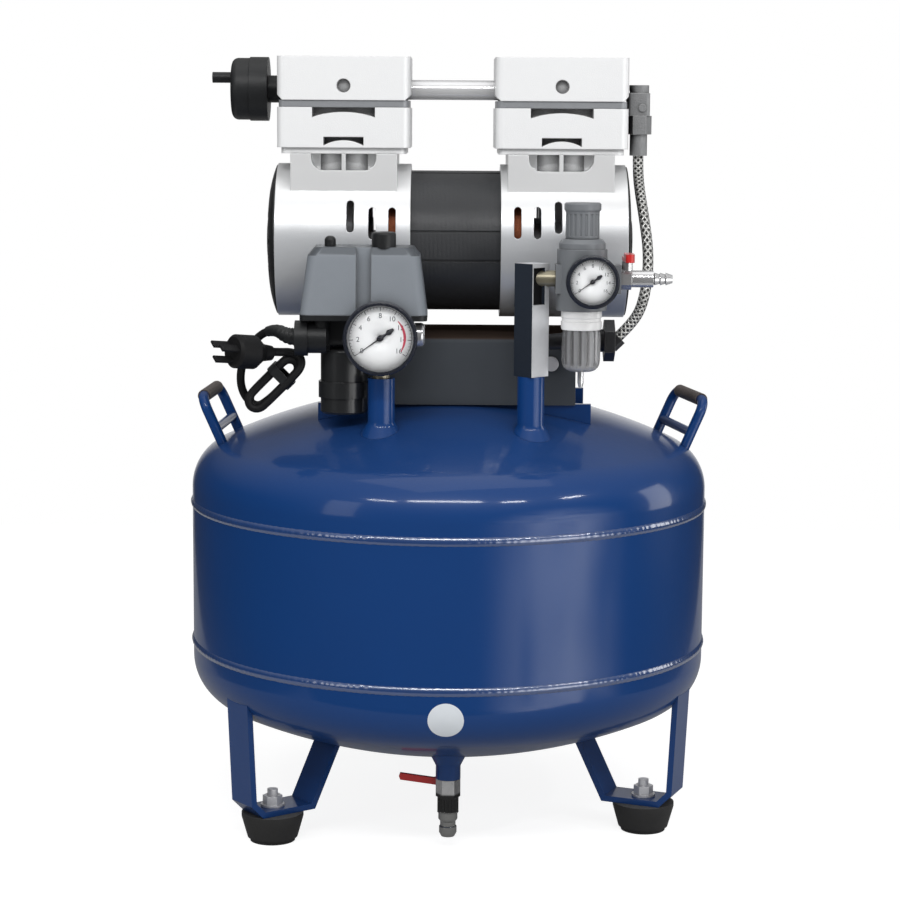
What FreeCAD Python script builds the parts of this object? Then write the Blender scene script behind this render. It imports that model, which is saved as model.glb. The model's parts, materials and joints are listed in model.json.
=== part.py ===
import FreeCAD
import Part
import math
import os

# Oil-free air compressor on an upright tank, in millimetres.
# Origin: on the floor under the tank's axis. +X right, +Y away from the front, +Z up.

# Tank
tank_radius = 200.0
tank_wall = 3.0
tank_clearance = 52.95
shell_length = 108.5
head_flange = 12.0
head_knuckle = 38.0
head_crown = 420.0
head_rise = (head_flange + head_crown
             - math.sqrt((head_crown - head_knuckle) ** 2 - (tank_radius - head_knuckle) ** 2))
shell_bottom = tank_clearance + head_rise
shell_top = shell_bottom + shell_length
dome_top = shell_top + head_rise
seam_width = 7.0
seam_height = 1.6
seam_gap = 0.05

# Legs and feet
leg_angles = (-53.1, 66.9, 186.9)
leg_width = 28.0
leg_thickness = 4.5
leg_arm_top_inset = 5.5
leg_arm_low_inset = 10.0
leg_plate_inset = 19.0
leg_plate_length = 44.0
leg_strut_lean = 25.0
leg_chamfer_rise = 9.0
leg_arm_sink = 16.0
leg_strut_sink = 6.0
leg_arm_top_radius = tank_radius - leg_arm_top_inset
leg_arm_low_radius = tank_radius - leg_arm_low_inset
leg_plate_outer = tank_radius - leg_plate_inset
leg_plate_inner = leg_plate_outer - leg_plate_length
leg_strut_radius = leg_plate_inner - leg_strut_lean
foot_inset = 16.0
foot_radius = leg_plate_outer - foot_inset
foot_height = 22.0
foot_top_radius = 23.5
foot_bottom_radius = 19.0
foot_tread_radius = 17.0
foot_tread = 3.0
foot_bolt_radius = 4.0
foot_bolt_above = 13.0
foot_nut_size = 13.0
foot_nut_height = 6.5
foot_head_radius = 9.0
foot_head_height = 4.0
foot_washer_radius = 9.0
washer_thickness = 1.6

# Carry handles
handle_rod = 4.0
handle_half_span = 42.0
handle_left_root = tank_radius - 29.0
handle_right_root = tank_radius - 22.0
handle_root_sink = 6.0
handle_lean = 17.0
handle_rise = 38.0
handle_bend = 11.0
handle_cross_share = 0.36
handle_left_turn = 176.3
handle_right_turn = 10.3
grip_radius = 5.0
grip_bore_gap = 0.1

# Threaded stubs on the tank
stub_radius = 10.0
stub_bore = 6.0
stub_front = -110.0
left_stub_x = -50.0
right_stub_x = 60.0
left_stub_top = dome_top + 20.45
right_stub_top = dome_top + 22.45
weld_skirt_radius = 15.0
weld_skirt_rise = 6.0

# Drain on the bottom head
drain_x = 1.0
drain_y = -120.0
drain_boss_radius = 9.3
drain_boss_bottom = tank_clearance + 1.55
drain_body_size = 16.0
drain_body_length = 14.0
drain_collar_radius = 8.0
drain_collar_length = 12.0
drain_nozzle_length = 18.5
drain_bore = 3.5
drain_nozzle_bore = 3.9
drain_ball_radius = 5.0
drain_stem_radius = 2.5
drain_stem_length = 13.0
drain_lever_reach = 36.0
drain_lever_eye = 6.0
drain_lever_width = 5.2
drain_lever_crank = 2.0
drain_lever_thickness = 3.0

# Motor bridge
bridge_left = -94.0
bridge_right = 95.0
bridge_front = -68.0
bridge_depth = 120.0
bridge_top = dome_top + 46.45
bridge_sheet = 3.0
bridge_bend = 4.0
bridge_lift = 1.4
lug_thickness = 5.0
left_lug_toe = 5.0
right_lug_toe = 12.0
lug_toe_top = dome_top - 3.55
lug_top = bridge_top - 8.0
lug_inset = 28.0
bridge_bolt_x = 76.5
bridge_bolt_height = bridge_top - 19.0
bolt_m6 = 3.0
bolt_m6_hole = 3.3
bolt_m6_head = 5.5
bolt_m6_head_height = 4.0
nut_m6_size = 10.0
nut_m6_height = 5.0

# Motor
motor_y = -8.0
bell_radius = 58.4
motor_lift = 11.6
motor_z = bridge_top + motor_lift + bell_radius
bell_wall = 4.0
bell_lip = 4.0
bell_mouth_radius = 49.0
left_bell_inner = -30.0
left_bell_outer = -131.8
right_bell_inner = 38.0
right_bell_outer = 133.5
stator_radius = 53.4
stator_bore = 32.5
stator_groove_width = 2.0
stator_groove_depth = 1.2
stator_groove_low = -14.0
stator_groove_high = 9.5
winding_inner = 35.0
winding_outer = 47.0
winding_length = 22.0
rotor_gap = 0.6
rotor_ring = 8.0
shaft_radius = 7.5
shaft_running_gap = 0.03
bearing_radius = 17.5
bearing_width = 11.0
partition_thickness = 4.0
partition_offset = 14.0
hub_radius = 23.0
fan_radius = 46.0
fan_hub_radius = 13.0
fan_width = 14.0
fan_blades = 9
fan_offset = 14.0
slot_width = 5.6
slot_height = 23.5
left_slots = ((-75.0, 20.0), (-58.6, 15.0), (-43.7, 15.0))
right_slots = ((50.5, 16.0), (65.3, 16.0), (81.0, 20.0))
guard_flange = 2.4
left_guard_dome = 6.0
right_guard_dome = 3.5
guard_hub_radius = 16.0
guard_slots = 12
guard_slot_width = 5.0
foot_pad_x = (-61.0, 63.0)
foot_pad_length = 22.0
foot_pad_reach = 54.0
foot_pad_inner = 34.0
foot_pad_height = 6.0
foot_pad_web = 32.0
foot_bolt_line = 46.0
foot_pocket_radius = 6.6
foot_pocket_height = 15.0
mount_height = 8.0
mount_radius = 10.0

# Pump ends
left_head_x = -80.4
right_head_x = 83.1
head_width = 100.0
head_depth = 92.0
neck_width = 80.0
neck_depth = 88.0
neck_top = motor_z + 66.5
block_step = 4.5
block_step_inset = 3.0
block_height = 30.0
plate_height = 5.3
plate_inset = 1.2
cover_height = 32.5
sleeve_bore = 31.85
sleeve_wall = 2.0
sleeve_bottom = neck_top - 18.5
sleeve_gap = 0.1
piston_gap = 0.35
stroke = 18.0
rod_length = 90.4
rod_thickness = 12.0
rod_big_end = 25.0
rod_shank = 14.0
eccentric_radius = 19.0
eccentric_thickness = 13.0
piston_plate = 5.0
seal_height = 4.0
window_width = 49.0
window_height = 12.5
window_rib = 3.0
upper_slot_width = 47.0
upper_slot_height = 8.5
lower_slot_width = 30.0
lower_slot_height = 6.5
slot_arc_rise = 4.0
slot_depth = 8.0
screw_across = 33.0
screw_along = 37.0
screw_grip = 8.0
screw_head_radius = 5.0
screw_head_height = 6.0
cover_recess_radius = 5.2
cover_recess_depth = 5.0
cover_pocket_depth = 4.0
cover_chamfer = 4.0

# Air lines between the heads
port_height = neck_top + 48.0
tube_radius = 7.5
tube_bore = 5.0
tube_seat = 6.0
filter_radius = 24.2
filter_body_length = 14.0
filter_lid_length = 14.0
filter_neck_radius = 10.3
filter_neck_length = 9.0
filter_spigot = 8.0
snorkel_radius = 4.1
snorkel_length = 15.0
snorkel_rise = 8.5

# Outlet elbow and braided hose
elbow_y = -25.0
elbow_reach = 9.4
elbow_x = right_head_x + head_width / 2 + elbow_reach
elbow_size = 16.0
elbow_top = port_height + 4.5
elbow_bottom = port_height - 18.5
elbow_spigot = 5.0
elbow_port_height = port_height - 2.0
elbow_nut_length = 14.0
elbow_nut_size = 17.0
ferrule_radius = 6.6
ferrule_length = 16.0
hose_radius = 4.0
hose_bends = (
    (0.0, 0.0, -12.0),
    (1.2, -4.5, -26.0),
    (4.0, -16.5, -46.0),
    (6.5, -34.5, -71.0),
    (4.6, -49.0, -94.0),
    (0.0, -53.5, -113.0),
)
hose_last_bend = (8.4, 8.2)

# Check valve behind the filter bowl
check_x = 114.8
check_y = -80.0
check_z = right_stub_top + 23.8
check_size = 27.0
check_length = 8.0
check_body_radius = 8.5
check_branch_radius = 6.0
check_bend_x = 90.0
check_nut_size = 12.0
check_nut_length = 9.0
hose_entry = (125.9, check_z + 3.1)
hose_entry_slope = math.degrees(math.atan2(hose_last_bend[1], hose_last_bend[0]))

# Riser beside the regulator
riser_side = 18.0
riser_top = right_stub_top + 83.0
riser_bore = 4.0
riser_pocket_height = 27.0
riser_pocket_width = 12.0
riser_pocket_depth = 3.0
riser_pocket_top = riser_top - 3.0
riser_pocket_edge = 1.2

# Filter regulator
regulator_x = 96.5
regulator_radius = 18.4
regulator_port_height = riser_top - 11.0
regulator_bottom = regulator_port_height - 23.0
regulator_top = regulator_port_height + 21.5
regulator_left_reach = 19.5
regulator_right_reach = 28.1
regulator_port_size = 21.0
regulator_port_depth = 20.0
bonnet_radius = 17.1
bonnet_neck = 14.6
bonnet_height = 7.6
bonnet_rise = 4.4
knob_radius = 12.4
knob_rim_radius = 13.5
knob_height = 25.9
knob_rim_height = 5.0
knob_rest_gap = 0.3
knob_flutes = 18
spindle_radius = 4.0
spindle_hex = 6.6
spindle_gap = 0.3
bowl_ring_radius = 15.6
bowl_ring_height = 14.5
bowl_radius = 14.2
bowl_wall = 2.2
bowl_bottom = regulator_bottom - 45.5
drain_pin_radius = 2.3
drain_pin_below = 8.0
nipple_size = 12.0

# Gauges
tank_gauge_radius = 27.0
regulator_gauge_radius = 19.3
regulator_gauge_x = regulator_x + 5.9
gauge_depth = 17.0
gauge_wall = 1.6
gauge_front_tank = -146.0
gauge_front_regulator = -151.0
bezel_width = 3.0
bezel_lip = 1.2
lens_thickness = 1.5
dial_thickness = 0.8
dial_setback = 6.0
needle_thickness = 0.7
needle_lift = 1.0
needle_pin = 1.0
needle_pin_gap = 0.05
needle_rest = 35.0
gauge_socket_radius = 6.0

# Manifold, safety valve and pressure switch
manifold_size = 22.0
safety_hex = 14.0
safety_body_radius = 8.0
safety_body_length = 9.0
safety_cap_radius = 8.8
safety_cap_length = 7.5
safety_gap = 0.3
safety_stem_radius = 2.0
safety_stem_length = 5.0
switch_left = -109.5
switch_right = -16.5
switch_front = -126.0
switch_back = -74.0
switch_plate = 4.0
switch_top = left_stub_top + 96.0
switch_taper = 5.5
switch_lean = 6.0
switch_wall = 2.2
switch_round = 6.0
switch_groove_x = -62.8
switch_groove_width = 11.0
switch_groove_depth = 5.0
knob_x = -48.5
knob_y = -107.0
switch_knob_radius = 8.9
switch_knob_height = 11.0
switch_knob_hole_gap = 0.4
switch_screw_x = -88.0
switch_screw_radius = 4.2
switch_screw_height = 7.7
gland_box_left = -104.0
gland_box_right = -76.0
gland_box_bottom = left_stub_top + 24.0
gland_box_front = -106.0
side_gland_y = -110.0
side_gland_z = left_stub_top + 29.0
side_gland_radius = 13.0
side_gland_end = -113.5
down_gland_x = -93.5
down_gland_y = -112.0
down_gland_radius = 5.5
down_gland_length = 19.0

# Outlet ball valve
outlet_body_length = 24.0
outlet_body_radius = 6.2
outlet_hex = 14.0
outlet_bore = 2.5
outlet_ball_radius = 4.0
outlet_stem_x = regulator_x + regulator_right_reach + 4.9
outlet_stem_radius = 2.2
outlet_stem_top = regulator_port_height + 15.0
outlet_barb_length = 14.0
outlet_barb_radius = 4.6
outlet_barb_bore = 2.1
outlet_lever_reach = 32.0
outlet_lever_width = 8.0
outlet_lever_thickness = 3.0

# Capacitor on the bridge
capacitor_x = -78.0
capacitor_y = -92.0
capacitor_radius = 17.5
capacitor_bottom = dome_top - 7.55
capacitor_height = 48.0
clamp_width = 12.0
clamp_thickness = 1.5
clamp_gap = 0.1
clamp_height = capacitor_bottom + 12.0
clamp_tab = 10.0

# Power cord, its hank and plug
cord_radius = 3.1
cord_route = (
    (side_gland_end, side_gland_y, side_gland_z + 1.0),
    (side_gland_end - 5.0, side_gland_y, side_gland_z + 1.0),
    (-127.5, -105.5, side_gland_z + 6.0),
    (-139.5, -97.0, side_gland_z + 2.0),
    (-151.0, -89.0, side_gland_z - 12.0),
    (-156.5, -86.0, side_gland_z - 30.0),
    (-153.0, -86.0, side_gland_z - 45.0),
    (-143.0, -86.0, side_gland_z - 49.5),
)
plug_lead_route = (
    (-119.0, -88.0, side_gland_z - 21.0),
    (-121.0, -97.0, side_gland_z - 12.0),
    (-134.0, -103.0, side_gland_z - 12.0),
)
hank_upper = (-117.0, -88.0, side_gland_z - 23.0)
hank_lower = (-144.0, -86.0, side_gland_z - 50.0)
hank_radius = 10.0
plug_back = (-132.0, -102.0, side_gland_z - 12.0)
plug_direction = (-0.76, -0.64, 0.1)
plug_neck_radius = 5.5
plug_neck_length = 8.0
plug_body_length = 26.0
plug_radius = 12.5
plug_pin_length = 15.0
plug_pin_spacing = 6.5

part_count = 0


def vec(x, y, z):
    return FreeCAD.Vector(x, y, z)


def save(name, *solids):
    """Write one node as a compound of its closed solids."""
    global part_count
    shape = solids[0] if len(solids) == 1 else Part.makeCompound(list(solids))
    shape.exportStep("parts/" + name + ".step")
    part_count += 1
    print(name, len(shape.Solids), round(shape.Volume), shape.isValid())


def box(x0, x1, y0, y1, z0, z1):
    return Part.makeBox(x1 - x0, y1 - y0, z1 - z0, vec(x0, y0, z0))


def rod(radius, length, at, direction=(0, 0, 1)):
    return Part.makeCylinder(radius, length, vec(*at), vec(*direction))


def pipe(outer, inner, length, at, direction=(0, 0, 1)):
    return rod(outer, length, at, direction).cut(rod(inner, length, at, direction))


def face_of(steps, place):
    """Closed face from corner points; a pair of points is an arc through the first to the second."""
    edges = []
    here = steps[0]
    for step in list(steps[1:]) + [steps[0]]:
        if isinstance(step[0], tuple):
            through, end = step
            edges.append(Part.Arc(place(here), place(through), place(end)).toShape())
        else:
            end = step
            if place(here).distanceToPoint(place(end)) > 1e-6:
                edges.append(Part.LineSegment(place(here), place(end)).toShape())
        here = end
    return Part.Face(Part.Wire(edges))


def turned(steps):
    """Solid of revolution about Z; each step is (radius, height)."""
    flat = face_of(steps, lambda p: vec(p[0], 0, p[1]))
    return flat.revolve(vec(0, 0, 0), vec(0, 0, 1), 360)


def aimed(shape, at, direction):
    """Turn a shape made along +Z to a direction, then move it."""
    turn = FreeCAD.Rotation(vec(0, 0, 1), vec(*direction))
    out = shape.copy()
    out.Placement = FreeCAD.Placement(vec(*at), turn)
    return out


def slab_xz(steps, y, depth):
    return face_of(steps, lambda p: vec(p[0], y, p[1])).extrude(vec(0, depth, 0))


def slab_xy(steps, z, height):
    return face_of(steps, lambda p: vec(p[0], p[1], z)).extrude(vec(0, 0, height))


def hexagon(size, length, at, direction=(0, 0, 1)):
    """Hexagonal prism of a given width across flats."""
    reach = size / math.sqrt(3)
    corners = [(reach * math.cos(math.radians(60 * k)), reach * math.sin(math.radians(60 * k)))
               for k in range(6)]
    return aimed(slab_xy(corners, 0, length), at, direction)


def rounded_box(x0, x1, y0, y1, z0, z1, radius):
    """Box with its upright edges rounded."""
    steps = [(x0 + radius, y0), (x1 - radius, y0)]
    corner = radius * (1 - math.sqrt(0.5))
    steps.append(((x1 - corner, y0 + corner), (x1, y0 + radius)))
    steps.append((x1, y1 - radius))
    steps.append(((x1 - corner, y1 - corner), (x1 - radius, y1)))
    steps.append((x0 + radius, y1))
    steps.append(((x0 + corner, y1 - corner), (x0, y1 - radius)))
    steps.append((x0, y0 + radius))
    steps.append(((x0 + corner, y0 + corner), (x0 + radius, y0)))
    return slab_xy(steps, z0, z1 - z0)


def stadium(x, z, width, height, y, depth):
    """Upright slot with round ends, cut along Y."""
    half = width / 2
    low = z - height / 2 + half
    high = z + height / 2 - half
    steps = [(x - half, low), ((x, low - half), (x + half, low)),
             (x + half, high), ((x, high + half), (x - half, high))]
    return slab_xz(steps, y, depth)


def turned_about_z(shape, degrees):
    out = shape.copy()
    out.rotate(vec(0, 0, 0), vec(0, 0, 1), degrees)
    return out


def ring_of(shape, count, at, direction):
    """Copies of a shape turned about an axis through a point."""
    copies = []
    for k in range(count):
        copy = shape.copy()
        copy.rotate(vec(*at), vec(*direction), 360.0 * k / count)
        copies.append(copy)
    return copies


# Dished heads


def dish_steps(radius, knuckle, crown):
    """Half profile of a dished head above its seam: flange, knuckle arc, crown arc."""
    side = radius - knuckle
    fall = math.sqrt((crown - knuckle) ** 2 - side ** 2)
    centre = head_flange - fall
    turn = math.atan2(fall, side)
    meet = (side + knuckle * math.cos(turn), head_flange + knuckle * math.sin(turn))
    mid_turn = turn / 2
    mid_knuckle = (side + knuckle * math.cos(mid_turn), head_flange + knuckle * math.sin(mid_turn))
    half = (math.pi / 2 + turn) / 2
    mid_crown = (crown * math.cos(half), centre + crown * math.sin(half))
    top = (0, centre + crown)
    return [(radius, 0), (radius, head_flange), (mid_knuckle, meet), (mid_crown, top)]


def dish_height(r):
    """Height of the outer surface above the seam at a radius."""
    side = tank_radius - head_knuckle
    fall = math.sqrt((head_crown - head_knuckle) ** 2 - side ** 2)
    turn = math.atan2(fall, side)
    if r < side + head_knuckle * math.cos(turn):
        return head_flange - fall + math.sqrt(head_crown ** 2 - r ** 2)
    return head_flange + math.sqrt(head_knuckle ** 2 - (r - side) ** 2)


outer_steps = dish_steps(tank_radius, head_knuckle, head_crown)
inner_steps = dish_steps(tank_radius - tank_wall, head_knuckle - tank_wall, head_crown - tank_wall)


def dish_solid(steps):
    return turned([(0, 0)] + steps)


def raise_to(shape, z, flip=False):
    out = shape.copy()
    if flip:
        out.rotate(vec(0, 0, 0), vec(1, 0, 0), 180)
    out.translate(vec(0, 0, z))
    return out


top_outside = raise_to(dish_solid(outer_steps), shell_top)
bottom_outside = raise_to(dish_solid(outer_steps), shell_bottom, True)


def top_surface(x, y):
    return shell_top + dish_height(math.hypot(x, y))


def bottom_surface(x, y):
    return shell_bottom - dish_height(math.hypot(x, y))


def make_tank():
    head = dish_solid(outer_steps).cut(dish_solid(inner_steps))
    top = raise_to(head, shell_top)
    for x in (left_stub_x, right_stub_x):
        top = top.cut(rod(stub_bore, head_rise + 10, (x, stub_front, shell_top)))
    bottom = raise_to(head, shell_bottom, True)
    bottom = bottom.cut(rod(drain_bore, shell_bottom, (drain_x, drain_y, 0)))
    inner = tank_radius - tank_wall
    save("tank_shell", pipe(tank_radius, inner, shell_length, (0, 0, shell_bottom)))
    save("tank_top_head", top)
    save("tank_bottom_head", bottom)
    seat = tank_radius + seam_gap
    beads = []
    for z in (shell_bottom, shell_top):
        steps = [(seat, z - seam_width / 2),
                 ((seat + seam_height, z), (seat, z + seam_width / 2))]
        beads.append(turned(steps))
    save("seam_welds", *beads)


# Legs, feet and their bolts


def leg_profile(offset):
    """Centre line of the bent strap in the radial plane, moved sideways by an offset."""
    low = foot_height + leg_thickness / 2
    root = bottom_surface(0, leg_arm_top_radius) + leg_arm_sink
    strut_top = bottom_surface(0, leg_strut_radius) + leg_strut_sink
    line = [(leg_arm_top_radius, root), (leg_arm_low_radius, low + leg_chamfer_rise),
            (leg_plate_outer, low), (leg_plate_inner, low), (leg_strut_radius, strut_top)]
    moved = []
    for k, point in enumerate(line):
        before = line[max(k - 1, 0)]
        after = line[min(k + 1, len(line) - 1)]
        turns = []
        for a, b in ((before, point), (point, after)):
            size = math.hypot(b[0] - a[0], b[1] - a[1])
            if size > 0:
                turns.append(((b[1] - a[1]) / size, -(b[0] - a[0]) / size))
        nx = sum(t[0] for t in turns) / len(turns)
        nz = sum(t[1] for t in turns) / len(turns)
        scale = offset / (nx * nx + nz * nz)
        moved.append((point[0] + nx * scale, point[1] + nz * scale))
    return moved


def make_legs():
    half = leg_thickness / 2
    steps = leg_profile(half) + leg_profile(-half)[::-1]
    strap = slab_xz(steps, -leg_width / 2, leg_width)
    hole = rod(foot_bolt_radius + 0.5, 30, (foot_radius, 0, foot_height - 5))
    legs = []
    feet = []
    bolts = []
    for angle in leg_angles:
        leg = turned_about_z(strap.cut(hole), angle - 90).cut(bottom_outside)
        legs.append(max(leg.Solids, key=lambda s: s.Volume))
        foot = turned([(foot_bolt_radius + 0.3, foot_head_height + 1.0),
                       (foot_head_radius + 0.5, foot_head_height + 1.0),
                       (foot_head_radius + 0.5, 0), (foot_tread_radius, 0),
                       (foot_tread_radius, foot_tread), (foot_bottom_radius, foot_tread),
                       (foot_top_radius, foot_height - 3), (foot_top_radius, foot_height),
                       (foot_bolt_radius + 0.3, foot_height)])
        place = vec(foot_radius * math.sin(math.radians(angle)),
                    -foot_radius * math.cos(math.radians(angle)), 0)
        foot.translate(place)
        feet.append(foot)
        seat = foot_height + leg_thickness
        start = 1.0
        bolt = rod(foot_head_radius, foot_head_height, (0, 0, start))
        bolt = bolt.fuse(rod(foot_bolt_radius, seat + foot_bolt_above - start, (0, 0, start)))
        washer = pipe(foot_washer_radius, foot_bolt_radius + 0.2, washer_thickness, (0, 0, seat))
        nut = hexagon(foot_nut_size, foot_nut_height, (0, 0, seat + washer_thickness))
        nut = nut.cut(rod(foot_bolt_radius + 0.05, 30, (0, 0, seat)))
        for piece in (bolt, washer, nut):
            piece.translate(place)
            bolts.append(piece)
    save("tank_legs", *legs)
    save("rubber_feet", *feet)
    return bolts


# Carry handles


def handle_frame(root):
    """Rod frame on a root radius in its own place: X outwards, Y along the bar."""
    length = math.hypot(handle_lean, handle_rise)
    up = (handle_lean / length, handle_rise / length)
    root_height = top_surface(root, 0) - handle_root_sink

    def at(y, along):
        return vec(root + up[0] * along, y, root_height + up[1] * along)

    bend = handle_bend
    corner = bend * (1 - math.sqrt(0.5))
    span = handle_half_span
    edges = [Part.LineSegment(at(-span, 0), at(-span, length - bend)).toShape(),
             Part.Arc(at(-span, length - bend), at(-span + corner, length - corner),
                      at(-span + bend, length)).toShape(),
             Part.LineSegment(at(-span + bend, length), at(span - bend, length)).toShape(),
             Part.Arc(at(span - bend, length), at(span - corner, length - corner),
                      at(span, length - bend)).toShape(),
             Part.LineSegment(at(span, length - bend), at(span, 0)).toShape()]
    path = Part.Wire(edges)
    ring = Part.Wire([Part.Circle(at(-span, 0), vec(up[0], 0, up[1]), handle_rod).toShape()])
    frame = path.makePipeShell([ring], True, False)
    cross_at = length * handle_cross_share
    cross = rod(handle_rod * 0.9, 2 * span, tuple(at(-span, cross_at)), (0, 1, 0))
    bar = at(-span, length)
    return frame.fuse(cross), (bar.x, bar.z)


def make_handles():
    bar_half = handle_half_span - handle_bend
    handles = []
    grips = []
    for root, turn in ((handle_left_root, handle_left_turn), (handle_right_root, handle_right_turn)):
        frame, bar = handle_frame(root)
        sleeve = pipe(grip_radius, handle_rod + grip_bore_gap, 2 * bar_half,
                      (bar[0], -bar_half, bar[1]), (0, 1, 0))
        handle = turned_about_z(frame, turn).cut(top_outside)
        handles.append(max(handle.Solids, key=lambda s: s.Volume))
        grips.append(turned_about_z(sleeve, turn))
    save("carry_handles", *handles)
    save("handle_grips", *grips)


# Stubs, drain boss and bridge lugs welded to the tank


def stub(x, y, top, radius, bore):
    """Threaded stub with its weld skirt, trimmed to the dished head."""
    ground = top_surface(x, y)
    body = rod(radius, top - ground + 30, (x, y, ground - 30))
    skirt = Part.makeCone(weld_skirt_radius + 2, radius, weld_skirt_rise + 6, vec(x, y, ground - 6))
    body = body.fuse(skirt).cut(top_outside)
    body = max(body.Solids, key=lambda s: s.Volume)
    return body.cut(rod(bore, 120, (x, y, ground - 40)))


def drain_boss():
    ground = bottom_surface(drain_x, drain_y)
    body = rod(drain_boss_radius, ground - drain_boss_bottom + 20, (drain_x, drain_y, drain_boss_bottom))
    skirt = Part.makeCone(drain_boss_radius, weld_skirt_radius, weld_skirt_rise + 5,
                          vec(drain_x, drain_y, ground - weld_skirt_rise))
    body = body.fuse(skirt).cut(bottom_outside)
    body = max(body.Solids, key=lambda s: s.Volume)
    return body.cut(rod(drain_bore, 80, (drain_x, drain_y, drain_boss_bottom - 5)))


def lug(side, front):
    """Upright tab behind a bridge flange, with a toe past the bridge's end."""
    end = bridge_right if side > 0 else -bridge_left
    inner = end - lug_inset
    flange = bridge_front + bridge_sheet if front else bridge_front + bridge_depth - bridge_sheet
    y0 = flange if front else flange - lug_thickness
    ground = top_surface(side * end, y0) - 20
    tab = box(inner, end - 3, y0, y0 + lug_thickness, ground, lug_top)
    reach = right_lug_toe if side > 0 else left_lug_toe
    toe = box(inner, end + reach, y0, y0 + lug_thickness, ground, lug_toe_top)
    body = tab.fuse(toe)
    if side < 0:
        body = body.mirror(vec(0, 0, 0), vec(1, 0, 0))
    body = body.cut(top_outside)
    body = max(body.Solids, key=lambda s: s.Volume)
    hole = rod(bolt_m6_hole, lug_thickness + 4, (side * bridge_bolt_x, y0 - 2, bridge_bolt_height), (0, 1, 0))
    return body.cut(hole)


def make_tank_fittings():
    pieces = [stub(left_stub_x, stub_front, left_stub_top, stub_radius, stub_bore),
              stub(right_stub_x, stub_front, right_stub_top, stub_radius, stub_bore),
              drain_boss()]
    for side in (-1, 1):
        for front in (True, False):
            pieces.append(lug(side, front))
    save("tank_fittings", *pieces)


# Motor bridge, its bolts and the rubber mounts


def make_bridge():
    rear = bridge_front + bridge_depth
    front_low = top_surface(0, bridge_front) + bridge_lift
    rear_low = top_surface(0, rear) + bridge_lift
    inner = bridge_bend - bridge_sheet * 0.75
    corner = bridge_bend * (1 - math.sqrt(0.5))
    top = bridge_top
    s = bridge_sheet
    y0 = bridge_front
    steps = [(y0, front_low), (y0, top - bridge_bend),
             ((y0 + corner, top - corner), (y0 + bridge_bend, top)),
             (rear - bridge_bend, top),
             ((rear - corner, top - corner), (rear, top - bridge_bend)),
             (rear, rear_low), (rear - s, rear_low), (rear - s, top - s - inner),
             (rear - s - inner, top - s), (y0 + s + inner, top - s),
             (y0 + s, top - s - inner), (y0 + s, front_low)]
    sheet = face_of(steps, lambda p: vec(bridge_left, p[0], p[1]))
    sheet = sheet.extrude(vec(bridge_right - bridge_left, 0, 0))
    for x in (-bridge_bolt_x, bridge_bolt_x):
        sheet = sheet.cut(rod(bolt_m6_hole, bridge_depth + 10, (x, y0 - 5, bridge_bolt_height), (0, 1, 0)))
    for x in foot_pad_x:
        for y in (motor_y - foot_bolt_line, motor_y + foot_bolt_line):
            sheet = sheet.cut(rod(bolt_m6_hole, 20, (x, y, top - 10)))
    save("motor_bridge", sheet)

    fasteners = []
    for x in (-bridge_bolt_x, bridge_bolt_x):
        for face, out in ((y0, -1), (rear, 1)):
            grip = bridge_sheet + lug_thickness
            head = rod(bolt_m6_head, bolt_m6_head_height, (x, face, bridge_bolt_height), (0, out, 0))
            shank = rod(bolt_m6, grip + nut_m6_height + 1.5, (x, face, bridge_bolt_height), (0, -out, 0))
            nut = hexagon(nut_m6_size, nut_m6_height, (x, face - out * grip, bridge_bolt_height),
                          (0, -out, 0))
            nut = nut.cut(rod(bolt_m6 + 0.05, 40, (x, face + 20, bridge_bolt_height), (0, -1, 0)))
            fasteners += [head.fuse(shank), nut]
    mounts = []
    pad_bottom = bridge_top + mount_height
    for x in foot_pad_x:
        for y in (motor_y - foot_bolt_line, motor_y + foot_bolt_line):
            mount = turned([(bolt_m6_hole, 0), (mount_radius, 0), (mount_radius - 1.2, mount_height / 2),
                            (mount_radius, mount_height), (bolt_m6_hole, mount_height)])
            mount.translate(vec(x, y, bridge_top))
            mounts.append(mount)
            top_of_pad = pad_bottom + foot_pad_height
            head = hexagon(nut_m6_size, bolt_m6_head_height, (x, y, top_of_pad))
            length = foot_pad_height + mount_height + bridge_sheet + nut_m6_height + 1.5
            shank = rod(bolt_m6, length, (x, y, top_of_pad), (0, 0, -1))
            nut = hexagon(nut_m6_size, nut_m6_height, (x, y, bridge_top - bridge_sheet - nut_m6_height))
            nut = nut.cut(rod(bolt_m6 + 0.05, 30, (x, y, bridge_top - 20)))
            fasteners += [head.fuse(shank), nut]
    save("rubber_mounts", *mounts)
    return fasteners


# Motor


def along_x(shape):
    """Stand a shape made along +Z on the motor axis, pointing along +X from X = 0."""
    return aimed(shape, (0, motor_y, motor_z), (1, 0, 0))


def ring_x(outer, inner, x0, x1):
    low = min(x0, x1)
    return pipe(outer, inner, abs(x1 - x0), (low, motor_y, motor_z), (1, 0, 0))


def disc_x(radius, x0, x1):
    low = min(x0, x1)
    return rod(radius, abs(x1 - x0), (low, motor_y, motor_z), (1, 0, 0))


def pump_side(head_x):
    return 1 if head_x > 0 else -1


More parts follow.
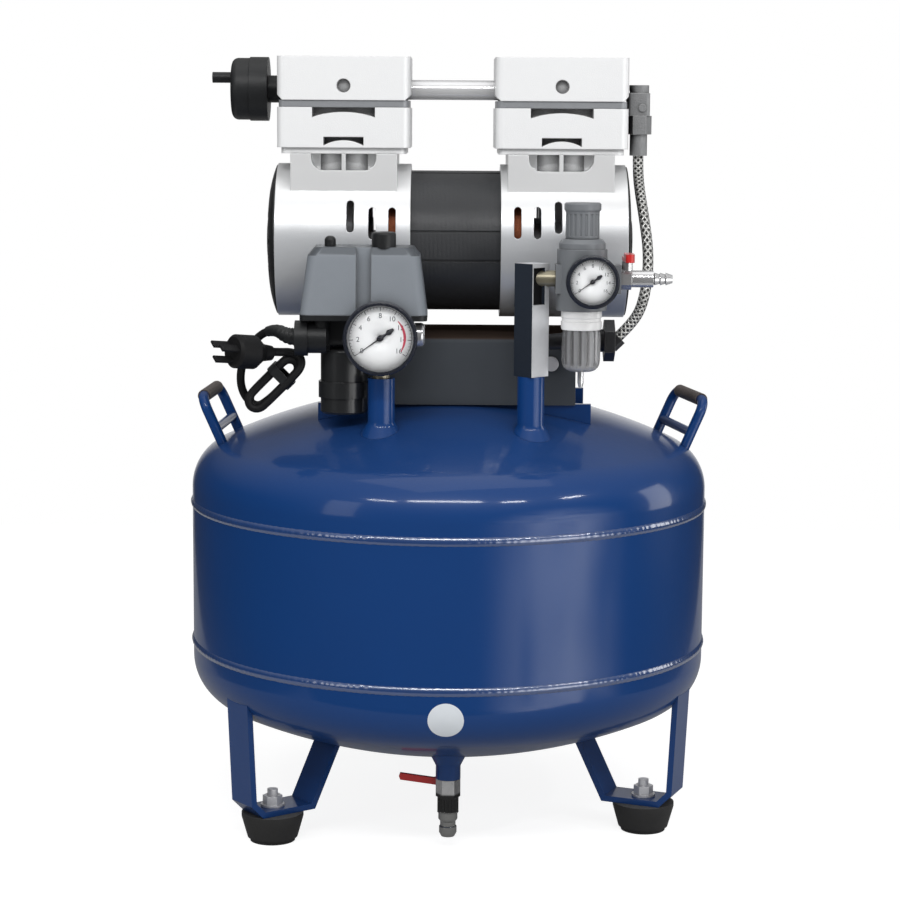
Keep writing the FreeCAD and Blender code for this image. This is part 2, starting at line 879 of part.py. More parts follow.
def make_endbell(name, inner, outer, head_x, slots, pad_x):
    side = pump_side(head_x)
    body = disc_x(bell_radius, inner, outer)
    top_x0 = head_x - neck_width / 2
    neck = box(top_x0, top_x0 + neck_width, motor_y - neck_depth / 2, motor_y + neck_depth / 2,
               motor_z, neck_top)
    for y in (motor_y - foot_pad_reach, motor_y + foot_pad_inner):
        pad = box(pad_x - foot_pad_length / 2, pad_x + foot_pad_length / 2,
                  y, y + foot_pad_reach - foot_pad_inner, bridge_top + mount_height,
                  motor_z - foot_pad_web)
        body = body.fuse(pad)
    body = body.fuse(neck)
    cavity_radius = bell_radius - bell_wall
    partition = head_x - side * partition_offset
    body = body.cut(disc_x(cavity_radius, inner + side * bell_lip, partition))
    body = body.cut(disc_x(bell_mouth_radius, inner, inner + side * bell_lip))
    body = body.cut(disc_x(cavity_radius, partition + side * partition_thickness, outer))
    hub_end = partition + side * (partition_thickness - bearing_width - 1)
    body = body.fuse(ring_x(hub_radius, bearing_radius, partition, hub_end))
    body = body.cut(disc_x(bearing_radius, partition + side * partition_thickness, hub_end))
    bore = sleeve_bore + sleeve_wall + sleeve_gap
    body = body.cut(rod(bore, neck_top - motor_z, (head_x, motor_y, motor_z)))
    for dx in (-screw_across, screw_across):
        for dy in (-screw_along, screw_along):
            hole = rod(bolt_m6 + 0.05, screw_grip + 1, (head_x + dx, motor_y + dy, neck_top - screw_grip - 1))
            body = body.cut(hole)
    # Foot pads keep room above them for the mount bolts' heads.
    for y in (motor_y - foot_bolt_line, motor_y + foot_bolt_line):
        body = body.cut(rod(bolt_m6_hole, 12, (pad_x, y, bridge_top + mount_height - 3)))
        pocket = rod(foot_pocket_radius, foot_pocket_height,
                     (pad_x, y, bridge_top + mount_height + foot_pad_height))
        body = body.cut(pocket)
    for x, z in slots:
        for y in (motor_y - bell_radius - 2, motor_y + bell_radius - 28):
            body = body.cut(stadium(x, motor_z + z, slot_width, slot_height, y, 30))
    # Windows under the cylinder, one rib in the middle of each.
    for y in (motor_y - neck_depth / 2 - 1, motor_y + neck_depth / 2 - 15):
        body = body.cut(window(head_x, y))
    save(name, body)


def window(head_x, y):
    half = window_width / 2
    low = neck_top - window_height
    round_end = window_height * 0.75
    corner = round_end * (1 - math.sqrt(0.5))
    rib = window_rib / 2
    left = slab_xz([(head_x - half, neck_top + 1), (head_x - half, low + round_end),
                    ((head_x - half + corner, low + corner), (head_x - half + round_end, low)),
                    (head_x - rib, low), (head_x - rib, neck_top + 1)], y, 16)
    right = slab_xz([(head_x + half, neck_top + 1), (head_x + half, low + round_end),
                     ((head_x + half - corner, low + corner), (head_x + half - round_end, low)),
                     (head_x + rib, low), (head_x + rib, neck_top + 1)], y, 16)
    return left.fuse(right)


def make_guard(outer, side, dome_rise):
    """Black domed end cover with radial vents."""
    inner_rim = bell_radius - 1.4
    rise = guard_flange + dome_rise
    steps = [(0, rise), (guard_hub_radius, rise), (guard_hub_radius + 5, rise - 1.6),
             ((inner_rim * 0.72, rise - 2.6), (inner_rim, guard_flange * 0.5)), (inner_rim, 0),
             (inner_rim - 8, 0),
             ((inner_rim * 0.70, rise - 4.6), (guard_hub_radius, rise - 3.4)), (0, rise - 3.0)]
    dome = turned(steps)
    vent = box(guard_hub_radius + 6, inner_rim - 11, -guard_slot_width / 2, guard_slot_width / 2, -1,
               rise + 1)
    for copy in ring_of(vent, guard_slots, (0, 0, 0), (0, 0, 1)):
        dome = dome.cut(copy)
    return aimed(dome, (outer, motor_y, motor_z), (side, 0, 0))


def make_motor():
    stator = ring_x(stator_radius, stator_bore, left_bell_inner, right_bell_inner)
    length = right_bell_inner - left_bell_inner
    for quarter in range(4):
        for degrees in (stator_groove_low, stator_groove_high):
            cut = box(left_bell_inner - 1, right_bell_inner + 1,
                      motor_y - stator_radius - 1, motor_y - stator_radius + stator_groove_depth,
                      motor_z - stator_groove_width / 2, motor_z + stator_groove_width / 2)
            cut.rotate(vec(0, motor_y, motor_z), vec(-1, 0, 0), degrees + 90 * quarter)
            stator = stator.cut(cut)
    save("stator_core", stator)

    coils = []
    for face, side in ((left_bell_inner, -1), (right_bell_inner, 1)):
        middle = (winding_inner + winding_outer) / 2
        steps = [(winding_inner, 0), (winding_outer, 0), (winding_outer, winding_length - 6),
                 ((middle, winding_length), (winding_inner, winding_length - 6))]
        coils.append(aimed(turned(steps), (face, motor_y, motor_z), (side, 0, 0)))
    save("stator_windings", *coils)

    rotor_radius = stator_bore - rotor_gap
    rotor = ring_x(rotor_radius, shaft_radius, left_bell_inner + 4, right_bell_inner - 4)
    rings = [ring_x(rotor_radius - 1, shaft_radius + 10, left_bell_inner + 4,
                    left_bell_inner + 4 - rotor_ring),
             ring_x(rotor_radius - 1, shaft_radius + 10, right_bell_inner - 4,
                    right_bell_inner - 4 + rotor_ring)]
    save("rotor_core", rotor.fuse(rings[0]).fuse(rings[1]))

    fan_left = left_head_x - fan_offset
    fan_right = right_head_x + fan_offset
    save("motor_shaft", disc_x(shaft_radius, fan_left - fan_width - 2, fan_right + fan_width + 2))
    fans = []
    for start, side in ((fan_left, -1), (fan_right, 1)):
        end = start + side * fan_width
        fan = ring_x(fan_hub_radius, shaft_radius, start, end)
        low = min(start, end)
        blade = box(low + 1, low + fan_width - 1, motor_y - 1, motor_y + 1,
                    motor_z + fan_hub_radius - 1, motor_z + fan_radius)
        blade.rotate(vec(low + fan_width / 2, motor_y, motor_z), vec(0, 0, 1), 35 * side)
        for copy in ring_of(blade, fan_blades, (0, motor_y, motor_z), (1, 0, 0)):
            fan = fan.fuse(copy)
        fans.append(fan)
    save("cooling_fans", *fans)

    bearings = []
    eccentrics = []
    rods = []
    for head_x, phase in ((left_head_x, 1), (right_head_x, -1)):
        side = pump_side(head_x)
        start = head_x - side * (partition_offset - partition_thickness)
        bearings.append(ring_x(bearing_radius - 0.01, shaft_radius + shaft_running_gap,
                               start, start - side * bearing_width))
        centre_z = motor_z + phase * stroke / 2
        half = eccentric_thickness / 2
        disc = rod(eccentric_radius, eccentric_thickness, (head_x - half, motor_y, centre_z), (1, 0, 0))
        eccentrics.append(disc.cut(disc_x(shaft_radius + shaft_running_gap, head_x - half - 1,
                                          head_x + half + 1)))
        rods += piston_rod(head_x, centre_z)
    save("shaft_bearings", *bearings)
    save("crank_eccentrics", *eccentrics)
    save("connecting_rods", *rods)

    make_endbell("endbell_left", left_bell_inner, left_bell_outer, left_head_x, left_slots, foot_pad_x[0])
    make_endbell("endbell_right", right_bell_inner, right_bell_outer, right_head_x, right_slots,
                 foot_pad_x[1])
    save("end_guards", make_guard(left_bell_outer, -1, left_guard_dome),
         make_guard(right_bell_outer, 1, right_guard_dome))


def piston_rod(head_x, centre_z):
    """Wobble-piston rod: big end, shank and plate, then the cup seal on its top."""
    half = rod_thickness / 2
    top = centre_z + rod_length
    body = rod(rod_big_end, rod_thickness, (head_x - half, motor_y, centre_z), (1, 0, 0))
    body = body.fuse(box(head_x - half, head_x + half, motor_y - rod_shank / 2, motor_y + rod_shank / 2,
                         centre_z, top - seal_height - piston_plate))
    plate_radius = sleeve_bore - 1.5
    body = body.fuse(rod(plate_radius, piston_plate, (head_x, motor_y, top - seal_height - piston_plate)))
    body = body.cut(rod(eccentric_radius + 0.02, rod_thickness + 2, (head_x - half - 1, motor_y, centre_z),
                        (1, 0, 0)))
    seal_radius = sleeve_bore - piston_gap
    seal = turned([(0, 0), (seal_radius, 0), (seal_radius, seal_height), (seal_radius - 1.2, seal_height),
                   (seal_radius - 1.6, 1.4), (0, 1.4)])
    seal.translate(vec(head_x, motor_y, top - seal_height))
    return [body, seal]


# Cylinder blocks, valve plates and head covers


def arched_slot(head_x, width, height, top, y):
    """Slot whose lower edge rises in the middle, cut along Y."""
    half = width / 2
    low = top - height
    return slab_xz([(head_x - half, top), (head_x - half, low),
                    ((head_x, low + slot_arc_rise), (head_x + half, low)),
                    (head_x + half, top)], y, slot_depth + 1)


def make_heads():
    block_bottom = neck_top + block_step
    block_top = block_bottom + block_height
    plate_top = block_top + plate_height
    cover_top = plate_top + cover_height
    y0 = motor_y - head_depth / 2
    y1 = motor_y + head_depth / 2
    blocks = []
    sleeves = []
    plates = []
    screws = []
    for head_x in (left_head_x, right_head_x):
        side = pump_side(head_x)
        x0 = head_x - head_width / 2
        x1 = head_x + head_width / 2
        inset = block_step_inset
        foot = rounded_box(x0 + inset, x1 - inset, y0 + inset, y1 - inset, neck_top, block_bottom, 5)
        block = rounded_box(x0, x1, y0, y1, block_bottom, block_top, 6).fuse(foot)
        bore = sleeve_bore + sleeve_wall + sleeve_gap
        block = block.cut(rod(bore, 60, (head_x, motor_y, neck_top - 5)))
        for y in (y0 - 1, y1 - slot_depth):
            block = block.cut(arched_slot(head_x, upper_slot_width, upper_slot_height, block_top + 1, y))
            block = block.cut(arched_slot(head_x, lower_slot_width, lower_slot_height, block_bottom + 8, y))
        sleeve = pipe(sleeve_bore + sleeve_wall, sleeve_bore, block_top - sleeve_bottom,
                      (head_x, motor_y, sleeve_bottom))
        plate = rounded_box(x0 + plate_inset, x1 - plate_inset, y0 + plate_inset, y1 - plate_inset,
                            block_top, plate_top, 5)
        ports = []
        for offset in (-15, 15):
            port = rod(5, plate_height + 2, (head_x + offset, motor_y, block_top - 1))
            ports.append(port)
            plate = plate.cut(port)
        reeds = [box(head_x - 21, head_x - 9, motor_y - 7, motor_y + 20, block_top - 0.6, block_top - 0.1),
                 box(head_x + 9, head_x + 21, motor_y - 20, motor_y + 7, plate_top + 0.1, plate_top + 0.6)]
        cover = rounded_box(x0, x1, y0, y1, plate_top, cover_top, 6)
        cut = cover_chamfer
        front = slab_xz([(x0, cover_top), (x0, plate_top + cut), (x0 + cut, plate_top),
                         (x1 - cut, plate_top), (x1, plate_top + cut), (x1, cover_top)], y0, head_depth)
        cover = cover.common(front)
        cover = cover.cut(cover_chambers(head_x, plate_top))
        cover = cover.cut(cover_top_pockets(head_x, cover_top))
        for y, out in ((y0, 1), (y1, -1)):
            cover = cover.cut(rod(cover_recess_radius, cover_recess_depth,
                                  (head_x, y, port_height + 2.5), (0, out, 0)))
        for dx in (-screw_across, screw_across):
            for dy in (-screw_along, screw_along):
                x = head_x + dx
                y = motor_y + dy
                hole = rod(bolt_m6_hole, cover_top - neck_top + 20, (x, y, neck_top - 10))
                cover = cover.cut(hole)
                cover = cover.cut(rod(screw_head_radius + 0.6, screw_head_height + 1,
                                      (x, y, cover_top - screw_head_height - 0.5)))
                plate = plate.cut(hole)
                block = block.cut(hole)
                head_low = cover_top - screw_head_height - 0.5
                screw = rod(screw_head_radius, screw_head_height, (x, y, head_low))
                screw = screw.cut(hexagon(5, 3, (x, y, head_low + screw_head_height - 3)))
                shank = head_low - neck_top + screw_grip
                screws.append(screw.fuse(rod(bolt_m6, shank, (x, y, neck_top - screw_grip))))
        inner_face = x1 if side < 0 else x0
        outer_face = x0 if side < 0 else x1
        reach = tube_seat + 20
        cover = cover.cut(rod(tube_radius + 0.1, tube_seat, (inner_face, motor_y, port_height), (side, 0, 0)))
        cover = cover.cut(rod(tube_bore, reach, (inner_face, motor_y, port_height), (side, 0, 0)))
        if side < 0:
            cover = cover.cut(rod(filter_spigot + 0.1, reach, (outer_face, motor_y, port_height), (1, 0, 0)))
            save("head_cover_left", cover)
        else:
            cover = cover.cut(rod(elbow_spigot + 0.1, reach, (outer_face, elbow_y, elbow_port_height),
                                  (-1, 0, 0)))
            save("head_cover_right", cover)
        blocks.append(block)
        sleeves.append(sleeve)
        plates += [plate] + reeds
    save("cylinder_blocks", *blocks)
    save("cylinder_sleeves", *sleeves)
    save("valve_plates", *plates)
    save("head_screws", *screws)


def cover_chambers(head_x, plate_top):
    """Two hollow chambers under a cover, with a wall between them."""
    depth = 20
    left = rounded_box(head_x - 34, head_x - 3, motor_y - 28, motor_y + 28, plate_top - 1,
                       plate_top + depth, 5)
    right = rounded_box(head_x + 3, head_x + 34, motor_y - 28, motor_y + 28, plate_top - 1,
                        plate_top + depth, 5)
    return left.fuse(right)


def cover_top_pockets(head_x, cover_top):
    """Row of cooling channels in the top of a cover."""
    pockets = None
    for k in range(-3, 4):
        y = motor_y + k * 8.5
        pocket = rounded_box(head_x - 42, head_x + 42, y - 2.6, y + 2.6,
                             cover_top - cover_pocket_depth, cover_top + 1, 2.5)
        pockets = pocket if pockets is None else pockets.fuse(pocket)
    return pockets


# Air lines


def make_air_lines():
    left_face = left_head_x + head_width / 2
    right_face = right_head_x - head_width / 2
    length = right_face - left_face + 2 * (tube_seat - 0.5)
    save("transfer_tube", pipe(tube_radius, tube_bore, length,
                               (left_face - tube_seat + 0.5, motor_y, port_height), (1, 0, 0)))

    face = left_head_x - head_width / 2
    neck_end = filter_neck_length
    body_end = neck_end + filter_body_length
    lid_end = body_end + filter_lid_length
    wall = 2.2
    body = turned([(5.0, -tube_seat), (filter_spigot, -tube_seat), (filter_spigot, 0),
                   (filter_neck_radius, 0),
                   (filter_neck_radius, neck_end), (filter_radius, neck_end),
                   (filter_radius, body_end), (filter_radius - wall, body_end),
                   (filter_radius - wall, neck_end + wall), (5.0, neck_end + wall)])
    lid_radius = filter_radius - 0.8
    lid = turned([(0, lid_end - wall), (lid_radius - wall - 2, lid_end - wall),
                  (lid_radius - wall, lid_end - wall - 3), (lid_radius - wall, body_end),
                  (lid_radius, body_end),
                  (lid_radius, lid_end - 5), ((lid_radius - 1.5, lid_end - 1.5), (lid_radius - 5, lid_end)),
                  (0, lid_end)])
    spout = rod(snorkel_radius, snorkel_length + 1, (0, 0, lid_end - 1))
    spout.translate(vec(-snorkel_rise, 0, 0))
    hole = rod(snorkel_radius - 1.3, snorkel_length + 12, (-snorkel_rise, 0, lid_end - 8))
    lid = lid.fuse(spout).cut(hole)
    element = pipe(filter_radius - 3.4, 8, filter_body_length + filter_lid_length - 2 * wall - 4,
                   (0, 0, neck_end + wall))
    place = (face, motor_y, port_height)
    save("intake_filter_body", stand_left(body, place), stand_left(element, place))
    save("intake_filter_lid", stand_left(lid, place))


def stand_left(shape, at):
    """Turn a shape made along +Z to -X, keeping its -X side upwards."""
    out = shape.copy()
    out.rotate(vec(0, 0, 0), vec(0, 1, 0), -90)
    out.rotate(vec(0, 0, 0), vec(1, 0, 0), 180)
    out.translate(vec(*at))
    return out


def make_elbow():
    face = right_head_x + head_width / 2
    half = elbow_size / 2
    block = rounded_box(face, elbow_x + half, elbow_y - half, elbow_y + half, elbow_bottom, elbow_top - 6, 3)
    cap = rod(half - 0.5, 6, (elbow_x, elbow_y, elbow_top - 6))
    spigot = rod(elbow_spigot, tube_seat, (face - tube_seat, elbow_y, elbow_port_height), (1, 0, 0))
    elbow = block.fuse(cap).fuse(spigot)
    elbow = elbow.fuse(rod(2.8, 2.0, (elbow_x + 2, elbow_y - half - 1.5, elbow_bottom + 6), (0, 1, 0)))
    elbow = elbow.cut(rod(3, 30, (elbow_x, elbow_y, elbow_bottom - 1)))
    across = elbow_x - face + tube_seat + 2
    elbow = elbow.cut(rod(3, across, (face - tube_seat - 1, elbow_y, elbow_port_height), (1, 0, 0)))
    nut = hexagon(elbow_nut_size, elbow_nut_length, (elbow_x, elbow_y, elbow_bottom - elbow_nut_length))
    ferrule_top = elbow_bottom - elbow_nut_length
    ferrule = rod(ferrule_radius, ferrule_length, (elbow_x, elbow_y, ferrule_top - ferrule_length))
    nut = nut.fuse(ferrule).cut(rod(3, 60, (elbow_x, elbow_y, ferrule_top - ferrule_length - 1)))
    save("outlet_elbow", elbow, nut)


def rounded_path(points, share=0.45):
    """Straight runs joined by tangent arcs; returns the wire and its arc radii."""
    pts = [vec(*p) for p in points]
    edges = []
    radii = []
    here = pts[0]
    for k in range(1, len(pts) - 1):
        into = pts[k] - pts[k - 1]
        out = pts[k + 1] - pts[k]
        short = min(into.Length, out.Length)
        turn = into.getAngle(out)
        into.normalize()
        out.normalize()
        radius = share * short / math.tan(turn / 2)
        cut = share * short
        start = pts[k] - into * cut
        end = pts[k] + out * cut
        inward = (out - into)
        inward.normalize()
        centre = pts[k] + inward * (radius / math.cos(turn / 2))
        middle = centre - inward * radius
        edges.append(Part.LineSegment(here, start).toShape())
        edges.append(Part.Arc(start, middle, end).toShape())
        radii.append(round(radius, 1))
        here = end
    edges.append(Part.LineSegment(here, pts[-1]).toShape())
    return Part.Wire(edges), radii


def swept_tube(name, points, radius):
    wire, radii = rounded_path(points)
    start = vec(*points[0])
    heading = vec(*points[1]) - start
    circle = Part.Wire([Part.Circle(start, heading, radius).toShape()])
    tube = wire.makePipeShell([circle], True, False)
    expected = math.pi * radius ** 2 * wire.Length
    print(name, "radii", radii, "length", round(wire.Length), "volume share",
          round(tube.Volume / expected, 4))
    return tube


hose_start = elbow_bottom - elbow_nut_length - ferrule_length
hose_route = (
    (elbow_x, elbow_y, hose_start),
    *((elbow_x + dx, elbow_y + dy, hose_start + dz) for dx, dy, dz in hose_bends),
    (hose_entry[0] + hose_last_bend[0], check_y, hose_entry[1] + hose_last_bend[1]),
    (hose_entry[0], check_y, hose_entry[1]),
)


def riser_bar():
    """Square bar standing on its stub with an edge to the front."""
    half = riser_side / 2
    bar = box(-half, half, -half, half, right_stub_top, riser_top)
    pocket = box(-half + riser_pocket_edge, -half + riser_pocket_edge + riser_pocket_width,
                 -half - 1, -half + riser_pocket_depth,
                 riser_pocket_top - riser_pocket_height, riser_pocket_top)
    bar = turned_about_z(bar.cut(pocket), 45)
    bar.translate(vec(right_stub_x, stub_front, 0))
    return bar


def make_hose_and_check_valve(bar):
    save("delivery_hose", swept_tube("delivery_hose", hose_route, hose_radius))
    slope = math.radians(hose_entry_slope)
    nut_way = (math.cos(slope), 0, math.sin(slope))
    nut_at = (hose_entry[0] - nut_way[0] * check_nut_length, check_y,
              hose_entry[1] - nut_way[2] * check_nut_length)
    body = hexagon(check_size, check_length, (check_x, check_y, check_z), (1, 0, 0))
    body = body.fuse(hexagon(check_nut_size, check_nut_length, nut_at, nut_way))
    body = body.fuse(rod(check_body_radius, check_x - check_bend_x, (check_bend_x, check_y, check_z),
                         (1, 0, 0)))
    body = body.fuse(Part.makeSphere(check_body_radius, vec(check_bend_x, check_y, check_z)))
    across = (right_stub_x - check_bend_x, stub_front - check_y, 0)
    length = math.hypot(across[0], across[1])
    body = body.fuse(rod(check_branch_radius, length, (check_bend_x, check_y, check_z), across))
    body = body.cut(rod(3, check_x + 4 - check_bend_x, (check_bend_x, check_y, check_z), (1, 0, 0)))
    body = body.cut(rod(3, length, (check_bend_x, check_y, check_z), across))
    body = body.cut(bar)
    body = max(body.Solids, key=lambda s: s.Volume)
    save("check_valve", body)


def make_riser(bar):
    bore = rod(riser_bore, regulator_port_height + riser_bore - right_stub_top + 1,
               (right_stub_x, stub_front, right_stub_top - 1))
    bore = bore.fuse(rod(riser_bore, riser_side, (right_stub_x, stub_front, regulator_port_height),
                         (1, 0, 0)))
    across = (check_bend_x - right_stub_x, check_y - stub_front, 0)
    bore = bore.fuse(rod(3, riser_side, (right_stub_x, stub_front, check_z), across))
    save("riser_block", bar.cut(bore))


# Brass nipples


manifold_z = left_stub_top + 21.0 + manifold_size / 2
manifold_top = manifold_z + manifold_size / 2


def make_brass(bar):
    low = manifold_z - manifold_size / 2
    nipple = rod(6.3, low - left_stub_top, (left_stub_x, stub_front, left_stub_top))
    nipple = nipple.fuse(hexagon(nipple_size + 2, 8, (left_stub_x, stub_front, left_stub_top + 4)))
    nipple = nipple.cut(rod(riser_bore, 60, (left_stub_x, stub_front, left_stub_top - 10)))
    start = right_stub_x
    end = regulator_x - regulator_left_reach
    side = rod(6.0, end - start, (start, stub_front, regulator_port_height), (1, 0, 0))
    side = side.cut(bar)
    side = max(side.Solids, key=lambda s: s.CenterOfMass.x)
    side = side.cut(rod(riser_bore, 60, (start, stub_front, regulator_port_height), (1, 0, 0)))
    pieces = [nipple, side]
    for x, z, face, front in ((left_stub_x, manifold_z, stub_front - manifold_size / 2, gauge_front_tank),
                              (regulator_gauge_x, regulator_port_height, stub_front - regulator_radius,
                               gauge_front_regulator)):
        back = front + gauge_depth
        stem = rod(gauge_socket_radius - 1, face - back + 8, (x, face + 8, z), (0, -1, 0))
        if x > 0:
            stem = stem.cut(regulator_core())
            stem = min(stem.Solids, key=lambda s: s.CenterOfMass.y)
        else:
            stem = stem.cut(box(x - 20, x + 20, face, face + 10, z - 20, z + 20))
        pieces.append(stem.cut(rod(2.5, 60, (x, face + 20, z), (0, -1, 0))))
    save("brass_fittings", *pieces)


# Gauges


def make_gauges():
    cases = []
    lenses = []
    for name, x, z, front, radius, tail in (
            ("tank_gauge_needle", left_stub_x, manifold_z, gauge_front_tank, tank_gauge_radius, 1.7),
            ("regulator_gauge_needle", regulator_gauge_x, regulator_port_height, gauge_front_regulator,
             regulator_gauge_radius, 1.1)):
        back = front + gauge_depth
        inner = radius - gauge_wall
        lip = gauge_depth - bezel_lip
        case = turned([(2.5, 0), (radius - 2, 0), (radius - 1, 4), (radius, 6), (radius, gauge_depth - 1),
                       (radius - 1, gauge_depth), (radius - bezel_width, gauge_depth),
                       (radius - bezel_width, lip), (inner, lip), (inner, 6.8),
                       (inner - 1.5, gauge_wall), (2.5, gauge_wall)])
        dial_top = gauge_depth - dial_setback
        dial = pipe(inner - 0.1, needle_pin + needle_pin_gap, dial_thickness,
                    (0, 0, dial_top - dial_thickness))
        lens = rod(inner - 0.1, lens_thickness, (0, 0, lip - lens_thickness - 0.05))
        base = dial_top + needle_lift
        top = base + needle_thickness
        reach = radius - bezel_width - 4
        pointer = slab_xy([(0, -0.9), (reach - 4, -0.45), (reach, 0), (reach - 4, 0.45), (0, 0.9)],
                          base, needle_thickness)
        back_arm = slab_xy([(0, -0.8), (-reach * 0.22, -tail), (-reach * 0.5, -tail),
                            (-reach * 0.5, tail), (-reach * 0.22, tail), (0, 0.8)], base, needle_thickness)
        hub = rod(2.2, needle_thickness, (0, 0, base))
        pin = rod(needle_pin, top - 5, (0, 0, 5))
        needle = pointer.fuse(back_arm).fuse(hub).fuse(pin)
        needle.rotate(vec(0, 0, 0), vec(0, 0, 1), 180 + needle_rest)
        placed = []
        for shape in (case, dial, lens, needle):
            copy = shape.copy()
            copy.rotate(vec(0, 0, 0), vec(1, 0, 0), 90)
            copy.translate(vec(x, back, z))
            placed.append(copy)
        cases += placed[:2]
        lenses.append(placed[2])
        save(name, placed[3])
    save("gauge_cases", *cases)
    save("gauge_lenses", *lenses)


# Manifold, safety valve and pressure switch


def make_manifold():
    half = manifold_size / 2
    x = left_stub_x
    y = stub_front
    block = box(x - half, x + half, y - half, y + half, manifold_z - half, manifold_top)
    block = block.cut(rod(riser_bore, manifold_size + 2, (x, y, manifold_z - half - 1)))
    block = block.cut(rod(2.5, half + 1, (x, y, manifold_z), (0, -1, 0)))
    block = block.cut(rod(riser_bore, half + 1, (x, y, manifold_z), (1, 0, 0)))
    save("switch_manifold", block)

    start = x + half
    nut_length = 4.0
    body_end = start + nut_length + safety_body_length
    valve = hexagon(safety_hex, nut_length, (start, y, manifold_z), (1, 0, 0))
    valve = valve.fuse(rod(safety_body_radius, safety_body_length, (start + nut_length, y, manifold_z),
                           (1, 0, 0)))
    bore = safety_stem_length + 3
    valve = valve.cut(rod(safety_stem_radius + 0.05, bore, (body_end - bore + 1, y, manifold_z), (1, 0, 0)))
    save("safety_valve", valve)
    cap = turned([(0, -safety_gap - safety_stem_length),
                  (safety_stem_radius, -safety_gap - safety_stem_length),
                  (safety_stem_radius, 0), (safety_cap_radius, 0), (safety_cap_radius, safety_cap_length - 3),
                  ((safety_cap_radius - 0.9, safety_cap_length - 0.9),
                   (safety_cap_radius - 3, safety_cap_length)),
                  (0, safety_cap_length)])
    save("safety_valve_cap", aimed(cap, (body_end + safety_gap, y, manifold_z), (1, 0, 0)))


def rounded_ring(x0, x1, y0, y1, z, radius):
    """Wire of a rectangle with round corners at a height."""
    flat = rounded_box(x0, x1, y0, y1, z, z + 1, radius)
    face = min(flat.Faces, key=lambda f: f.CenterOfMass.z)
    return face.OuterWire


def cover_body(inset):
    """Tapered switch cover; a positive inset gives its inner surface."""
    low = manifold_top + switch_plate
    plans = ((low, 0.0, 0.0), (switch_top - switch_round, switch_taper, switch_lean),
             (switch_top - inset, switch_taper + switch_round * 0.8, switch_lean + switch_round * 0.8))
    rings = []
    for z, side, front in plans:
        rings.append(rounded_ring(switch_left + side + inset, switch_right - side - inset,
                                  switch_front + front + inset, switch_back - front * 0.3 - inset, z,
                                  7.0 - inset))
    return Part.makeLoft(rings, True, True)


def make_switch():
    low = manifold_top
    plate = rounded_box(switch_left, switch_right, switch_front, switch_back, low, low + switch_plate, 6.0)
    gland_box = box(gland_box_left, gland_box_right, gland_box_front, switch_back + 6, gland_box_bottom, low)
    gland = rod(side_gland_radius, gland_box_left - side_gland_end,
                (gland_box_left, side_gland_y, side_gland_z), (-1, 0, 0))
    neck = rod(side_gland_radius - 2, 14, (gland_box_left, side_gland_y, side_gland_z), (1, 0, 0))
    down = rod(down_gland_radius, down_gland_length, (down_gland_x, down_gland_y, low), (0, 0, -1))
    down = down.fuse(hexagon(10.0, 4, (down_gland_x, down_gland_y, low - down_gland_length - 4)))
    frame = plate.fuse(gland_box).fuse(gland).fuse(neck).fuse(down)
    frame = frame.cut(rod(riser_bore, 20, (left_stub_x, stub_front, low - 5)))
    radius = switch_screw_radius
    height = switch_screw_height
    dome = turned([(0, 0), (radius, 0), (radius, height - 3.2), ((radius - 1, height - 1.1), (0.8, height)),
                   (0, height)])
    dome.translate(vec(switch_screw_x, knob_y + 6, switch_top))
    save("switch_base", frame, dome)

    groove_low = low + switch_plate
    groove = box(switch_groove_x - switch_groove_width / 2, switch_groove_x + switch_groove_width / 2,
                 switch_front - 5, switch_front + switch_groove_depth, groove_low - 1, switch_top + 5)
    wall = switch_wall
    grown = box(switch_groove_x - switch_groove_width / 2 - wall,
                switch_groove_x + switch_groove_width / 2 + wall,
                switch_front - 5, switch_front + switch_groove_depth + wall, groove_low - 1, switch_top + 5)
    lean = math.degrees(math.atan2(switch_lean, switch_top - switch_round - groove_low))
    for piece in (groove, grown):
        piece.rotate(vec(0, switch_front, groove_low), vec(1, 0, 0), -lean)
    inner = cover_body(wall).cut(grown)
    cover = cover_body(0.0).cut(groove).cut(inner)
    hole = rod(switch_knob_radius + switch_knob_hole_gap, 30, (knob_x, knob_y, switch_top - 15))
    cover = max(cover.cut(hole).Solids, key=lambda s: s.Volume)
    save("switch_cover", cover)

    depth = 5.0
    knob = turned([(0, -depth), (switch_knob_radius, -depth), (switch_knob_radius, switch_knob_height - 2),
                   ((switch_knob_radius - 0.6, switch_knob_height - 0.6),
                    (switch_knob_radius - 2, switch_knob_height)),
                   (4, switch_knob_height), (4, switch_knob_height - 2), (0, switch_knob_height - 2)])
    knob.translate(vec(knob_x, knob_y, switch_top))
    save("switch_knob", knob)


# Filter regulator


def regulator_core():
    return rod(regulator_radius, regulator_top - regulator_bottom,
               (regulator_x, stub_front, regulator_bottom))


